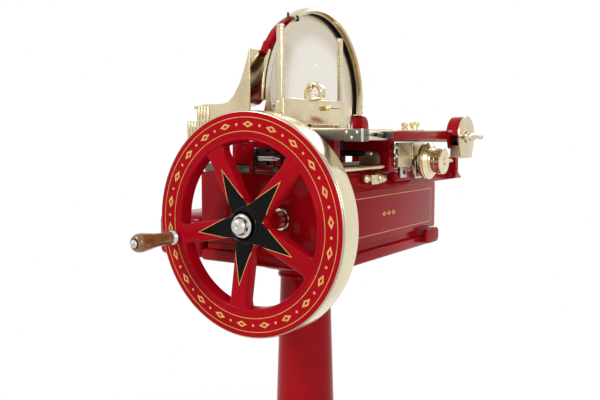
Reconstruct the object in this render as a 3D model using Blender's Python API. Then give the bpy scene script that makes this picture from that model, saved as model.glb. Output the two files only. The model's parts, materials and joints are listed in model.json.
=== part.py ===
"""Hand crank flywheel meat slicer on a pedestal.

Lengths are metres and +Z is up. Places are measured from the centre of the flywheel's front face,
with +X to the right and +Y along the main shaft into the machine. The machine empty lifts that point
to its height, so that the world origin is the floor under the column.
"""
import math

import bmesh
import bpy

# Driving dimensions
WHEEL_RADIUS = 0.190
WHEEL_DEPTH = 0.0475
SHAFT_HEIGHT = 0.870
COLUMN_X = -0.045
COLUMN_Y = 0.254
KNIFE_RADIUS = 0.163
KNIFE_X = -0.0475
KNIFE_Y = 0.290
KNIFE_Z = 0.221
BODY_LEFT = -0.187
BODY_RIGHT = 0.095
BODY_FRONT = 0.106
BODY_REAR = 0.570
BODY_BOTTOM = -0.054
CREASE_Z = 0.046
DECK_TOP = 0.080
DECK_EDGE_X = 0.072
CARRIAGE_TRAVEL = 0.330

# Clearances: face to face, running in a bore, between gear teeth, and a cutter's overrun
GAP = 0.0003
BORE_GAP = 0.0004
MESH_GAP = 0.0004
OVERRUN = 0.004
SOFT_EDGE = 0.002


# Scene and materials
for old in list(bpy.data.objects):
    bpy.data.objects.remove(old, do_unlink=True)


def material(name, colour, roughness, metallic):
    made = bpy.data.materials.new(name)
    made.use_nodes = True
    shader = made.node_tree.nodes["Principled BSDF"]
    shader.inputs["Base Color"].default_value = (*colour, 1.0)
    shader.inputs["Roughness"].default_value = roughness
    shader.inputs["Metallic"].default_value = metallic
    return made


RED = material("red_enamel", (0.30, 0.002, 0.006), 0.15, 0.0)
NICKEL = material("nickel", (0.72, 0.66, 0.54), 0.15, 1.0)
STEEL = material("steel", (0.45, 0.44, 0.42), 0.35, 1.0)
BRASS = material("brass", (0.70, 0.45, 0.15), 0.25, 1.0)
BLACK = material("black_enamel", (0.01, 0.01, 0.01), 0.25, 0.0)
IRON = material("cast_iron", (0.06, 0.06, 0.06), 0.6, 0.6)
WOOD = material("turned_wood", (0.21, 0.08, 0.025), 0.4, 0.0)
CREAM = material("cream_steel", (0.68, 0.58, 0.42), 0.3, 0.3)


# Places of the shafts that several pieces share
PIN_INSET = 0.0278
PIN_DROP = math.radians(11.379)
PIN_X = -(WHEEL_RADIUS - PIN_INSET) * math.cos(PIN_DROP)
PIN_Z = -(WHEEL_RADIUS - PIN_INSET) * math.sin(PIN_DROP)
SHAFT_RADIUS = 0.009
DRIVE_SPROCKET_RADIUS = 0.036
FRONT_SPROCKET_Y = 0.165
REAR_SPROCKET_Y = FRONT_SPROCKET_Y + CARRIAGE_TRAVEL - 2 * DRIVE_SPROCKET_RADIUS
CHAIN_X = -0.105
CARRIAGE_FRONT = 0.060
TABLE_BOTTOM = 0.141
TABLE_TOP = 0.1577
SCREW_Y = 0.457
SCREW_Z = 0.145
SCREW_RADIUS = 0.006
POST_X = 0.0175
POST_RADIUS = 0.006
FRONT_POST_Y = 0.080
REAR_POST_Y = 0.280
DIAL_Y = 0.454
DIAL_Z = 0.096

BODY_ORIGINS = {
    "frame": (0, 0, 0),
    "wheel": (0, 0, 0),
    "grip": (PIN_X, 0, PIN_Z),
    "cross": (0, KNIFE_Y, 0),
    "knife": (KNIFE_X, KNIFE_Y, KNIFE_Z),
    "drive": (0, REAR_SPROCKET_Y, 0),
    "idler": (0, FRONT_SPROCKET_Y, 0),
    "carriage": (0, CARRIAGE_FRONT, TABLE_BOTTOM),
    "feed_slide": (POST_X, FRONT_POST_Y, TABLE_TOP),
    "feed_screw": (0, SCREW_Y, SCREW_Z),
    "press": (POST_X, FRONT_POST_Y, TABLE_TOP),
    "dial": (0, DIAL_Y, DIAL_Z),
}


def empty(name, place, parent=None):
    made = bpy.data.objects.new(name, None)
    bpy.context.collection.objects.link(made)
    made.parent = parent
    made.location = place
    return made


MACHINE = empty("machine", (-COLUMN_X, -COLUMN_Y, SHAFT_HEIGHT))
BODIES = {name: empty(name + "_axis", place, MACHINE) for name, place in BODY_ORIGINS.items()}


# Modelling helpers
def point(axis, across, up, along):
    """A place from its distance along an axis and the two distances square to it."""
    if axis == "X":
        return (along, across, up)
    if axis == "Y":
        return (across, along, up)
    return (across, up, along)


def piece(name, bm, body, look, smooth=False):
    """Turn a closed mesh in machine coordinates into an object, its origin in its middle."""
    bmesh.ops.recalc_face_normals(bm, faces=bm.faces[:])
    low = [min(vert.co[i] for vert in bm.verts) for i in range(3)]
    high = [max(vert.co[i] for vert in bm.verts) for i in range(3)]
    middle = [(a + b) / 2 for a, b in zip(low, high)]
    bmesh.ops.translate(bm, verts=bm.verts[:], vec=[-value for value in middle])
    mesh = bpy.data.meshes.new(name)
    bm.to_mesh(mesh)
    bm.free()
    if smooth:
        mesh.shade_smooth()
        mesh.set_sharp_from_angle(angle=math.radians(35))
    mesh.materials.append(look)
    made = bpy.data.objects.new(name, mesh)
    bpy.context.collection.objects.link(made)
    made.parent = BODIES[body]
    made.location = [a - b for a, b in zip(middle, BODY_ORIGINS[body])]
    return made


def block(name, x_range, y_range, z_range, body, look, edge=0):
    """A box between three pairs of planes, with bevelled edges if an edge width is given."""
    bm = bmesh.new()
    bmesh.ops.create_cube(bm, size=1)
    ranges = (x_range, y_range, z_range)
    for vert in bm.verts:
        vert.co = [low if share < 0 else high for share, (low, high) in zip(vert.co, ranges)]
    made = piece(name, bm, body, look)
    if edge:
        bevel = made.modifiers.new("rounded edges", "BEVEL")
        bevel.width = edge
        bevel.segments = 2
    return made


def turned(name, profile, axis, centre, body, look, steps=32, teeth=0):
    """A turned solid: the profile holds (radius, place along the axis, depth of tooth if any)."""
    steps = 4 * teeth if teeth else steps
    bm = bmesh.new()
    rings = []
    for radius, along, *tooth in profile:
        depth = tooth[0] if tooth else 0
        if radius == 0:
            rings.append([bm.verts.new(point(axis, *centre, along))])
            continue
        ring = []
        for step in range(steps):
            reach = radius - depth if step % 4 in (2, 3) else radius
            turn = 2 * math.pi * step / steps
            across = centre[0] + reach * math.cos(turn)
            up = centre[1] + reach * math.sin(turn)
            ring.append(bm.verts.new(point(axis, across, up, along)))
        rings.append(ring)
    pairs = list(zip(rings, rings[1:]))
    if profile[0][0] and profile[-1][0]:
        pairs.append((rings[-1], rings[0]))
    for first, second in pairs:
        for step in range(steps):
            after = (step + 1) % steps
            corners = [first[step % len(first)], first[after % len(first)]]
            corners += [second[after % len(second)], second[step % len(second)]]
            bm.faces.new(list(dict.fromkeys(corners)))
    return piece(name, bm, body, look, smooth=True)


def extruded(name, outline, axis, span, body, look, holes=()):
    """A flat outline, with holes if any, drawn out between two planes square to an axis."""
    start, end = span
    bm = bmesh.new()
    edges = []
    for loop in (outline, *holes):
        verts = [bm.verts.new(point(axis, across, up, start)) for across, up in loop]
        edges += [bm.edges.new(pair) for pair in zip(verts, verts[1:] + verts[:1])]
    if holes:
        bmesh.ops.triangle_fill(bm, use_beauty=True, edges=edges)
    else:
        bm.faces.new(verts)
    drawn = bmesh.ops.extrude_face_region(bm, geom=bm.faces[:])
    moved = [item for item in drawn["geom"] if isinstance(item, bmesh.types.BMVert)]
    bmesh.ops.translate(bm, verts=moved, vec=point(axis, 0, 0, end - start))
    return piece(name, bm, body, look)


def combine(target, other, operation):
    """Cut the other object out of the target, or add it; the other stays as a hidden guide."""
    other.hide_render = True
    other.display_type = "WIRE"
    change = target.modifiers.new(other.name, "BOOLEAN")
    change.operation = operation
    change.solver = "EXACT"
    change.object = other


def bore(target, radius, axis, centre, span, body):
    """Cut a round hole through the target between two planes."""
    start, end = span
    profile = ((0, start), (radius, start), (radius, end), (0, end))
    cutter = turned("cutter_" + target.name + "_bore", profile, axis, centre, body, STEEL, steps=24)
    combine(target, cutter, "DIFFERENCE")


def arc(centre, radius, start, end, count):
    """Points of an arc between two angles in degrees."""
    angles = [math.radians(start + (end - start) * i / count) for i in range(count + 1)]
    return [(centre[0] + radius * math.cos(a), centre[1] + radius * math.sin(a)) for a in angles]


def circle(centre, radius, count=24):
    return arc(centre, radius, 0, 360, count)[:-1]


def arc_band(centre, inner, outer, start, end, count):
    """Outline of a ring's stretch between two angles in degrees."""
    return arc(centre, outer, start, end, count) + arc(centre, inner, end, start, count)


def rounded_rectangle(low, high, radius):
    """Outline of a rectangle with round corners."""
    corners = (
        (high[0] - radius, high[1] - radius, 0),
        (low[0] + radius, high[1] - radius, 90),
        (low[0] + radius, low[1] + radius, 180),
        (high[0] - radius, low[1] + radius, 270),
    )
    outline = []
    for across, up, start in corners:
        outline += arc((across, up), radius, start, start + 90, 4)
    return outline


def shoulder_z(x):
    """Height of the sloped shoulder between the deck's edge and the side crease."""
    return DECK_TOP - (x - DECK_EDGE_X) * (DECK_TOP - CREASE_Z) / (BODY_RIGHT - DECK_EDGE_X)


# Pedestal
BASE_RADIUS = 0.240
BASE_HEIGHT = 0.092
BASE_RIM = 0.022
COLUMN_FOOT_RADIUS = 0.0695
COLUMN_TOP_RADIUS = 0.0495
HEAD_RADIUS = 0.100
HEAD_THICKNESS = 0.013
HEAD_HEIGHT = 0.034
COLUMN_WALL = 0.013
TRAY_BOTTOM = -0.091
TRAY_FLANGE_TOP = -0.068
TRAY_INSET = 0.008
TRAY_CHAMFER = 0.003
LUG_FRONT = 0.500
LUG_LENGTH = 0.066
LUG_THICKNESS = 0.012
LUG_BOTTOM = -0.086
LUG_ROUND = 0.012


def build_pedestal():
    centre = (COLUMN_X, COLUMN_Y)
    floor = -SHAFT_HEIGHT
    base_top = floor + BASE_HEIGHT
    neck = COLUMN_FOOT_RADIUS + (BASE_HEIGHT - BASE_RIM) / 8
    dome = [(BASE_RADIUS, floor), (BASE_RADIUS, floor + BASE_RIM)]
    for step in range(1, 9):
        turn = math.pi / 2 * step / 8
        radius = neck + (BASE_RADIUS - neck) * (1 - math.sin(turn)) ** 1.4
        height = BASE_RIM + (BASE_HEIGHT - BASE_RIM) * (1 - math.cos(turn))
        dome.append((radius, floor + height))
    profile = ((0, floor), *dome, (0, base_top))
    turned("pedestal_base", profile, "Z", centre, "frame", RED, steps=48)

    hollow = COLUMN_TOP_RADIUS - COLUMN_WALL
    column_top = TRAY_BOTTOM - GAP
    head_low = column_top - HEAD_HEIGHT
    profile = (
        (hollow, base_top + GAP),
        (COLUMN_FOOT_RADIUS, base_top + GAP),
        (COLUMN_TOP_RADIUS, head_low),
        (COLUMN_TOP_RADIUS + HEAD_THICKNESS / 2, head_low + HEAD_THICKNESS),
        (HEAD_RADIUS, column_top - HEAD_THICKNESS),
        (HEAD_RADIUS, column_top),
        (hollow, column_top),
    )
    turned("pedestal_column", profile, "Z", centre, "frame", RED, steps=48)


def build_tray():
    levels = (
        (TRAY_BOTTOM, TRAY_CHAMFER),
        (TRAY_BOTTOM + TRAY_CHAMFER, 0),
        (TRAY_FLANGE_TOP - TRAY_CHAMFER, 0),
        (TRAY_FLANGE_TOP, TRAY_CHAMFER),
        (TRAY_FLANGE_TOP, TRAY_INSET),
        (BODY_BOTTOM - GAP, TRAY_INSET),
    )
    bm = bmesh.new()
    rings = []
    for height, inset in levels:
        left, right = BODY_LEFT + inset, BODY_RIGHT - inset
        front, rear = BODY_FRONT + inset, BODY_REAR - inset
        corners = ((left, front), (right, front), (right, rear), (left, rear))
        rings.append([bm.verts.new((x, y, height)) for x, y in corners])
    for low, high in zip(rings, rings[1:]):
        for i in range(4):
            bm.faces.new((low[i], low[(i + 1) % 4], high[(i + 1) % 4], high[i]))
    bm.faces.new(rings[0])
    bm.faces.new(rings[-1])
    piece("base_tray", bm, "frame", RED)

    low = (LUG_FRONT, LUG_BOTTOM)
    high = (LUG_FRONT + LUG_LENGTH, BODY_BOTTOM)
    outline = rounded_rectangle(low, high, LUG_ROUND)
    span = (BODY_RIGHT + GAP, BODY_RIGHT + GAP + LUG_THICKNESS)
    extruded("tray_lug", outline, "X", span, "frame", RED)


# Body: front panel, box of three walls, deck with its shoulder
WALL = 0.008
DECK_THICKNESS = 0.0147
DECK_REAR = 0.733
WING_LEFT = -0.304
WING_FRONT = 0.108
WING_REAR = 0.300
WING_TOP = -0.007
WING_BOTTOM = -0.090
WING_EDGE = 0.012
KNIFE_SLOT_MARGIN = 0.006
KNIFE_SLOT_LEFT = -0.055
KNIFE_SLOT_RIGHT = -0.040
CHAIN_SLOT_HALF = 0.0075
DOG_HALF_X = 0.007
DOG_HALF_Y = 0.007
DOG_SLOT_MARGIN = 0.003
KNIFE_CHAIN_OUTER = 0.031


def build_body():
    deck_under = DECK_TOP - DECK_THICKNESS
    outline = (
        (BODY_LEFT, BODY_BOTTOM),
        (BODY_RIGHT, BODY_BOTTOM),
        (BODY_RIGHT, CREASE_Z),
        (DECK_EDGE_X, DECK_TOP),
        (BODY_LEFT, DECK_TOP),
    )
    hole = circle((0, 0), SHAFT_RADIUS + BORE_GAP)
    span = (BODY_FRONT, BODY_FRONT + WALL)
    extruded("front_panel", outline, "Y", span, "frame", RED, holes=(hole,))

    front = BODY_FRONT + WALL + GAP
    inner_left, inner_right = BODY_LEFT + WALL, BODY_RIGHT - WALL
    inner_rear = BODY_REAR - WALL
    outline = (
        (BODY_LEFT, front),
        (BODY_LEFT, BODY_REAR),
        (BODY_RIGHT, BODY_REAR),
        (BODY_RIGHT, front),
        (inner_right, front),
        (inner_right, inner_rear),
        (inner_left, inner_rear),
        (inner_left, front),
    )
    extruded("body_box", outline, "Z", (BODY_BOTTOM, CREASE_Z - GAP), "frame", RED)

    edge_in = DECK_EDGE_X - WALL / 2
    outline = (
        (BODY_LEFT, CREASE_Z),
        (BODY_LEFT, DECK_TOP),
        (DECK_EDGE_X, DECK_TOP),
        (BODY_RIGHT, CREASE_Z),
        (inner_right, CREASE_Z),
        (edge_in, deck_under),
        (inner_left, deck_under),
        (inner_left, CREASE_Z),
    )
    deck = extruded("deck", outline, "Y", (front, DECK_REAR), "frame", RED)
    through = (deck_under - OVERRUN, DECK_TOP + OVERRUN)
    drop = KNIFE_Z - deck_under
    reach = math.sqrt(KNIFE_RADIUS**2 - drop**2) + KNIFE_SLOT_MARGIN
    reach_top = math.sqrt(KNIFE_RADIUS**2 - (KNIFE_Z - DECK_TOP) ** 2) + KNIFE_SLOT_MARGIN
    half = max(reach, reach_top)
    chain_half = KNIFE_CHAIN_OUTER + KNIFE_SLOT_MARGIN / 2
    dog_front = DOG_Y - DOG_HALF_Y - DOG_SLOT_MARGIN
    dog_rear = DOG_Y + DOG_HALF_Y + DOG_SLOT_MARGIN + CARRIAGE_TRAVEL
    dog_half = DOG_HALF_X + DOG_SLOT_MARGIN / 3
    slots = (
        ("cutter_knife_slot", (KNIFE_SLOT_LEFT, KNIFE_SLOT_RIGHT), (KNIFE_Y - half, KNIFE_Y + half)),
        (
            "cutter_chain_slot",
            (CHAIN_X - CHAIN_SLOT_HALF, CHAIN_X + CHAIN_SLOT_HALF),
            (KNIFE_Y - chain_half, KNIFE_Y + chain_half),
        ),
        ("cutter_dog_slot", (-dog_half, dog_half), (dog_front, dog_rear)),
    )
    for name, x_range, y_range in slots:
        combine(deck, block(name, x_range, y_range, through, "frame", RED), "DIFFERENCE")

    wing_x = (WING_LEFT, BODY_LEFT - GAP)
    wing_z = (WING_BOTTOM, WING_TOP)
    block("side_wing", wing_x, (WING_FRONT, WING_REAR), wing_z, "frame", RED, edge=WING_EDGE)


# Flywheel
FACE_THICKNESS = 0.006
FACE_PROUD = 0.0005
RIM_WALL = 0.009
RING_WIDTH = 0.050
RING_INNER = WHEEL_RADIUS - RING_WIDTH
CASTING_DEPTH = 0.028
SPOKE_COUNT = 5
SPOKE_WIDTH = 0.034
FIRST_SPOKE = 46.4
HUB_DISC = 0.036
HUB_RADIUS = 0.024
HUB_FRONT = -0.006
HUB_REAR = 0.092
NUT_RADIUS = 0.020
NUT_LENGTH = 0.018
NUT_FLANGE_SHARE = 0.16
NUT_DOME_SHARE = 0.8
NUT_DOME_WIDTH_SHARE = 0.88
FERRULE_RADIUS = 0.0145
FERRULE_LENGTH = 0.012
SPINDLE_RADIUS = 0.005
GRIP_LENGTH = 0.083
GRIP_NUT_RADIUS = 0.008
GRIP_NUT_LENGTH = 0.006
GRIP_SWELL_RADIUS = 0.0165


def spoke_window(index):
    """Outline of the opening between two spokes."""
    left = FIRST_SPOKE + index * 360 / SPOKE_COUNT
    right = left + 360 / SPOKE_COUNT
    wide = math.degrees(math.asin(SPOKE_WIDTH / 2 / RING_INNER))
    tight = math.degrees(math.asin(SPOKE_WIDTH / 2 / HUB_DISC))
    outer = arc((0, 0), RING_INNER, left + wide, right - wide, 10)
    return outer + arc((0, 0), HUB_DISC, right - tight, left + tight, 2)


def build_wheel():
    windows = [spoke_window(index) for index in range(SPOKE_COUNT)]
    hub_hole = circle((0, 0), HUB_RADIUS + GAP)
    outline = circle((0, 0), WHEEL_RADIUS - RIM_WALL - GAP, 72)
    span = (FACE_PROUD, CASTING_DEPTH)
    holes = (*windows, hub_hole)
    flywheel = extruded("flywheel", outline, "Y", span, "wheel", RED, holes=holes)
    face = (
        (WHEEL_RADIUS, 0),
        (WHEEL_RADIUS, FACE_THICKNESS),
        (RING_INNER + FACE_PROUD, FACE_THICKNESS),
        (RING_INNER + FACE_PROUD, 0),
    )
    flange = turned("guide_wheel_face", face, "Y", (0, 0), "wheel", RED, steps=72)
    combine(flywheel, flange, "UNION")

    rim_front = FACE_THICKNESS + GAP
    inner = WHEEL_RADIUS - RIM_WALL
    profile = (
        (WHEEL_RADIUS, rim_front),
        (WHEEL_RADIUS, WHEEL_DEPTH),
        (inner, WHEEL_DEPTH),
        (inner, rim_front),
    )
    turned("flywheel_rim", profile, "Y", (0, 0), "wheel", NICKEL, steps=72)

    nut_rear = HUB_FRONT - GAP
    nut_front = nut_rear - NUT_LENGTH
    profile = [(0, nut_front)]
    for step in range(1, 5):
        turn = math.pi / 2 * step / 4
        height = nut_front + NUT_DOME_SHARE * NUT_LENGTH * (1 - math.cos(turn))
        profile.append((NUT_DOME_WIDTH_SHARE * NUT_RADIUS * math.sin(turn), height))
    flange = nut_rear - NUT_FLANGE_SHARE * NUT_LENGTH
    profile += [(NUT_RADIUS, flange), (NUT_RADIUS, nut_rear), (0, nut_rear)]
    turned("hub_nut", profile, "Y", (0, 0), "wheel", NICKEL)

    pin = (PIN_X, PIN_Z)
    grip_rear = -FERRULE_LENGTH - BORE_GAP
    grip_front = grip_rear - GRIP_LENGTH
    nut_face = grip_front - BORE_GAP
    profile = (
        (0, nut_face - GRIP_NUT_LENGTH),
        (0.6 * GRIP_NUT_RADIUS, nut_face - GRIP_NUT_LENGTH),
        (GRIP_NUT_RADIUS, nut_face - GRIP_NUT_LENGTH / 2),
        (GRIP_NUT_RADIUS, nut_face),
        (SPINDLE_RADIUS, nut_face),
        (SPINDLE_RADIUS, -FERRULE_LENGTH),
        (0.75 * FERRULE_RADIUS, -FERRULE_LENGTH),
        (FERRULE_RADIUS, -FERRULE_LENGTH / 2),
        (FERRULE_RADIUS, -GAP),
        (0, -GAP),
    )
    turned("crank_spindle", profile, "Y", pin, "wheel", STEEL)

    hole = SPINDLE_RADIUS + BORE_GAP
    swell_shares = ((0.62, 0), (0.78, 0.06), (0.70, 0.30), (0.88, 0.60), (1, 0.82), (0.86, 0.96), (0.60, 1))
    outer = [(GRIP_SWELL_RADIUS * wide, grip_rear - GRIP_LENGTH * far) for wide, far in swell_shares]
    profile = [(hole, grip_rear), *outer, (hole, grip_front)]
    turned("wooden_grip", profile, "Y", pin, "grip", WOOD)


# Main shaft, gears and the two chain drives inside the body
MAIN_BEVEL_RADIUS = 0.045
PINION_RADIUS = 0.015
END_BEVEL_RADIUS = 0.040
DRIVEN_BEVEL_RADIUS = 0.020
BEVEL_FACE_SHARE = 0.8
BEVEL_BACK = 0.004
TOOTH_DEPTH = 0.002
COLLAR_RADIUS = 0.018
CROSS_LEFT = -0.150
KNIFE_SPROCKET_RADIUS = 0.026
KNIFE_CHAIN_HALF = 0.0035
CHAIN_CLEARANCE = 0.0006
VERTICAL_RADIUS = 0.008
SPROCKET_LOW = 0.052
SPROCKET_HIGH = 0.058
DRIVE_CHAIN_OUTER = 0.041
BEARING_WIDTH = 0.040
BEARING_LENGTH = 0.018
BEARING_ARM = 0.007
BEARING_TOP = 0.049
BEARING_RING_RADIUS = 0.026
HUB_CLEARANCE = 0.003
CRADLE_CHEEK = 0.008
CRADLE_GAP = 0.012
KNIFE_SHAFT_LEFT = -0.138
KNIFE_HUB_RADIUS = 0.040
KNIFE_HUB_LENGTH = 0.011
BLADE_THICKNESS = 0.003
BLADE_BEVEL = 0.020
DOG_Y = FRONT_SPROCKET_Y - DRIVE_SPROCKET_RADIUS


def build_shafts():
    apex = REAR_SPROCKET_Y
    near = BEVEL_FACE_SHARE
    bevel_y = apex - DRIVEN_BEVEL_RADIUS - MESH_GAP
    inner_y = apex - near * DRIVEN_BEVEL_RADIUS - MESH_GAP
    profile = (
        (0, HUB_FRONT),
        (HUB_RADIUS, HUB_FRONT),
        (HUB_RADIUS, HUB_REAR),
        (SHAFT_RADIUS, HUB_REAR),
        (SHAFT_RADIUS, bevel_y - 2 * BEVEL_BACK),
        (END_BEVEL_RADIUS - TOOTH_DEPTH, bevel_y - BEVEL_BACK),
        (END_BEVEL_RADIUS, bevel_y, TOOTH_DEPTH),
        (near * END_BEVEL_RADIUS, inner_y, TOOTH_DEPTH),
        (0, inner_y),
    )
    turned("main_shaft", profile, "Y", (0, 0), "wheel", STEEL, teeth=16)

    hole = SHAFT_RADIUS + GAP
    gear_y = KNIFE_Y - PINION_RADIUS - MESH_GAP
    gear_in = KNIFE_Y - near * PINION_RADIUS - MESH_GAP
    profile = (
        (hole, gear_y - 2 * BEVEL_BACK),
        (COLLAR_RADIUS, gear_y - 2 * BEVEL_BACK),
        (MAIN_BEVEL_RADIUS - TOOTH_DEPTH, gear_y - BEVEL_BACK),
        (MAIN_BEVEL_RADIUS, gear_y, TOOTH_DEPTH),
        (near * MAIN_BEVEL_RADIUS, gear_in, TOOTH_DEPTH),
        (hole, gear_in),
    )
    turned("main_bevel", profile, "Y", (0, 0), "wheel", IRON, teeth=24)

    pinion_x = -MAIN_BEVEL_RADIUS - MESH_GAP
    pinion_in = -near * MAIN_BEVEL_RADIUS - MESH_GAP
    left, right = CHAIN_X - KNIFE_CHAIN_HALF, CHAIN_X + KNIFE_CHAIN_HALF
    profile = (
        (0, CROSS_LEFT),
        (VERTICAL_RADIUS, CROSS_LEFT),
        (VERTICAL_RADIUS, left - BEVEL_BACK / 2),
        (KNIFE_SPROCKET_RADIUS, left, TOOTH_DEPTH),
        (KNIFE_SPROCKET_RADIUS, right, TOOTH_DEPTH),
        (VERTICAL_RADIUS, right + BEVEL_BACK / 2),
        (VERTICAL_RADIUS, pinion_x - BEVEL_BACK),
        (PINION_RADIUS - TOOTH_DEPTH, pinion_x - BEVEL_BACK),
        (PINION_RADIUS, pinion_x, TOOTH_DEPTH),
        (near * PINION_RADIUS, pinion_in, TOOTH_DEPTH),
        (0, pinion_in),
    )
    turned("cross_shaft", profile, "X", (KNIFE_Y, 0), "cross", STEEL, teeth=8)

    low = BODY_BOTTOM + 2 * GAP
    driven_z = -END_BEVEL_RADIUS - MESH_GAP
    driven_in = -near * END_BEVEL_RADIUS - MESH_GAP
    profile = (
        (0, low),
        (VERTICAL_RADIUS, low),
        (VERTICAL_RADIUS, driven_z - BEVEL_BACK),
        (DRIVEN_BEVEL_RADIUS - TOOTH_DEPTH, driven_z - BEVEL_BACK),
        (DRIVEN_BEVEL_RADIUS, driven_z, TOOTH_DEPTH),
        (near * DRIVEN_BEVEL_RADIUS, driven_in, TOOTH_DEPTH),
        (VERTICAL_RADIUS, driven_in),
        (VERTICAL_RADIUS, SPROCKET_LOW - BEVEL_BACK / 4),
        (DRIVE_SPROCKET_RADIUS, SPROCKET_LOW, TOOTH_DEPTH),
        (DRIVE_SPROCKET_RADIUS, SPROCKET_HIGH, TOOTH_DEPTH),
        (0, SPROCKET_HIGH),
    )
    turned("vertical_shaft", profile, "Z", (0, REAR_SPROCKET_Y), "drive", STEEL, teeth=12)

    hole = VERTICAL_RADIUS + BORE_GAP
    profile = (
        (hole, SPROCKET_LOW),
        (DRIVE_SPROCKET_RADIUS, SPROCKET_LOW, TOOTH_DEPTH),
        (DRIVE_SPROCKET_RADIUS, SPROCKET_HIGH, TOOTH_DEPTH),
        (hole, SPROCKET_HIGH),
    )
    turned("idler_sprocket", profile, "Z", (0, FRONT_SPROCKET_Y), "idler", IRON, teeth=12)


def chain_outline(radius, first, second):
    """Outline of a chain loop round two equal wheels, one above the other."""
    upper = arc(second, radius, 0, 180, 10)
    return upper + arc(first, radius, 180, 360, 10)


def build_chains():
    inner = KNIFE_SPROCKET_RADIUS + CHAIN_CLEARANCE
    wheels = ((KNIFE_Y, 0), (KNIFE_Y, KNIFE_Z))
    outline = chain_outline(KNIFE_CHAIN_OUTER, *wheels)
    span = (CHAIN_X - KNIFE_CHAIN_HALF, CHAIN_X + KNIFE_CHAIN_HALF)
    hole = chain_outline(inner, *wheels)
    extruded("knife_chain", outline, "X", span, "frame", STEEL, holes=(hole,))

    inner = DRIVE_SPROCKET_RADIUS + CHAIN_CLEARANCE
    wheels = ((0, FRONT_SPROCKET_Y), (0, REAR_SPROCKET_Y))
    outline = chain_outline(DRIVE_CHAIN_OUTER, *wheels)
    hole = chain_outline(inner, *wheels)
    span = (SPROCKET_LOW + CHAIN_CLEARANCE, SPROCKET_HIGH - CHAIN_CLEARANCE)
    extruded("carriage_chain", outline, "Z", span, "frame", STEEL, holes=(hole,))


def build_bearings():
    ring_front = HUB_REAR + HUB_CLEARANCE
    ring_rear = BODY_FRONT - GAP
    hole = SHAFT_RADIUS + BORE_GAP
    profile = (
        (hole, ring_front),
        (COLLAR_RADIUS, ring_front),
        (BEARING_RING_RADIUS, (ring_front + ring_rear) / 2),
        (BEARING_RING_RADIUS, ring_rear),
        (hole, ring_rear),
    )
    turned("front_bearing", profile, "Y", (0, 0), "frame", NICKEL)

    half = BEARING_WIDTH / 2
    front = REAR_SPROCKET_Y - END_BEVEL_RADIUS - BEARING_LENGTH / 2
    rear = front + BEARING_LENGTH
    under = BEARING_TOP - BEARING_ARM
    arm_rear = REAR_SPROCKET_Y + 2 * VERTICAL_RADIUS
    outline = (
        (front, BODY_BOTTOM),
        (rear, BODY_BOTTOM),
        (rear, under),
        (arm_rear, under),
        (arm_rear, BEARING_TOP),
        (front, BEARING_TOP),
    )
    bearing = extruded("rear_bearing", outline, "X", (-half, half), "frame", IRON)
    span = (front - OVERRUN, rear + OVERRUN)
    bore(bearing, SHAFT_RADIUS + BORE_GAP, "Y", (0, 0), span, "frame")
    span = (under - OVERRUN, BEARING_TOP + OVERRUN)
    bore(bearing, VERTICAL_RADIUS + BORE_GAP, "Z", (0, REAR_SPROCKET_Y), span, "frame")

    front = BODY_FRONT + WALL + GAP
    arm_rear = FRONT_SPROCKET_Y + 2 * VERTICAL_RADIUS
    foot = BEARING_TOP - 4 * BEARING_ARM
    outline = (
        (front, foot),
        (front + BEARING_ARM, foot),
        (front + BEARING_ARM, under),
        (arm_rear, under),
        (arm_rear, BEARING_TOP),
        (front, BEARING_TOP),
    )
    bracket = extruded("idler_bracket", outline, "X", (-half / 2, half / 2), "frame", IRON)
    middle = (under + BEARING_TOP) / 2
    pin = ((0, middle), (VERTICAL_RADIUS, middle), (VERTICAL_RADIUS, SPROCKET_HIGH), (0, SPROCKET_HIGH))
    guide = turned("guide_idler_pin", pin, "Z", (0, FRONT_SPROCKET_Y), "frame", IRON, steps=24)
    combine(bracket, guide, "UNION")

    cheek = CRADLE_CHEEK
    right = CHAIN_X + CRADLE_GAP + cheek
    left = CHAIN_X - CRADLE_GAP - cheek
    outline = (
        (left, BODY_BOTTOM),
        (right, BODY_BOTTOM),
        (right, COLLAR_RADIUS),
        (right - cheek, COLLAR_RADIUS),
        (right - cheek, BODY_BOTTOM + cheek),
        (left + cheek, BODY_BOTTOM + cheek),
        (left + cheek, COLLAR_RADIUS),
        (left, COLLAR_RADIUS),
    )
    span = (KNIFE_Y - half, KNIFE_Y + half)
    cradle = extruded("cross_bearing", outline, "Y", span, "frame", IRON)
    span = (left - OVERRUN, right + OVERRUN)
    bore(cradle, VERTICAL_RADIUS + BORE_GAP, "X", (KNIFE_Y, 0), span, "frame")


# Knife, its carrier and its guard
PEDESTAL_LEFT = -0.140
PEDESTAL_RIGHT = -0.062
PEDESTAL_CHEEK = 0.010
PEDESTAL_SOLE = 0.006
PEDESTAL_FRONT = 0.205
PEDESTAL_REAR = 0.344
PEDESTAL_HEAD_RADIUS = 0.034
GUARD_LEFT = -0.056
GUARD_RIGHT = -0.030
GUARD_INNER_GAP = 0.0015
GUARD_BAND = 0.0115
GUARD_START = -7
GUARD_END = 120
GUARD_FRONT_START = 150
GUARD_FRONT_END = 183
GUARD_FRONT_BAND = 0.016
GUARD_FRONT_THICKNESS = 0.0055
GUARD_ARM_HALF = 0.010
GUARD_FOOT_LENGTH = 0.035
GUARD_FOOT_ROUND = 0.024


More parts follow.
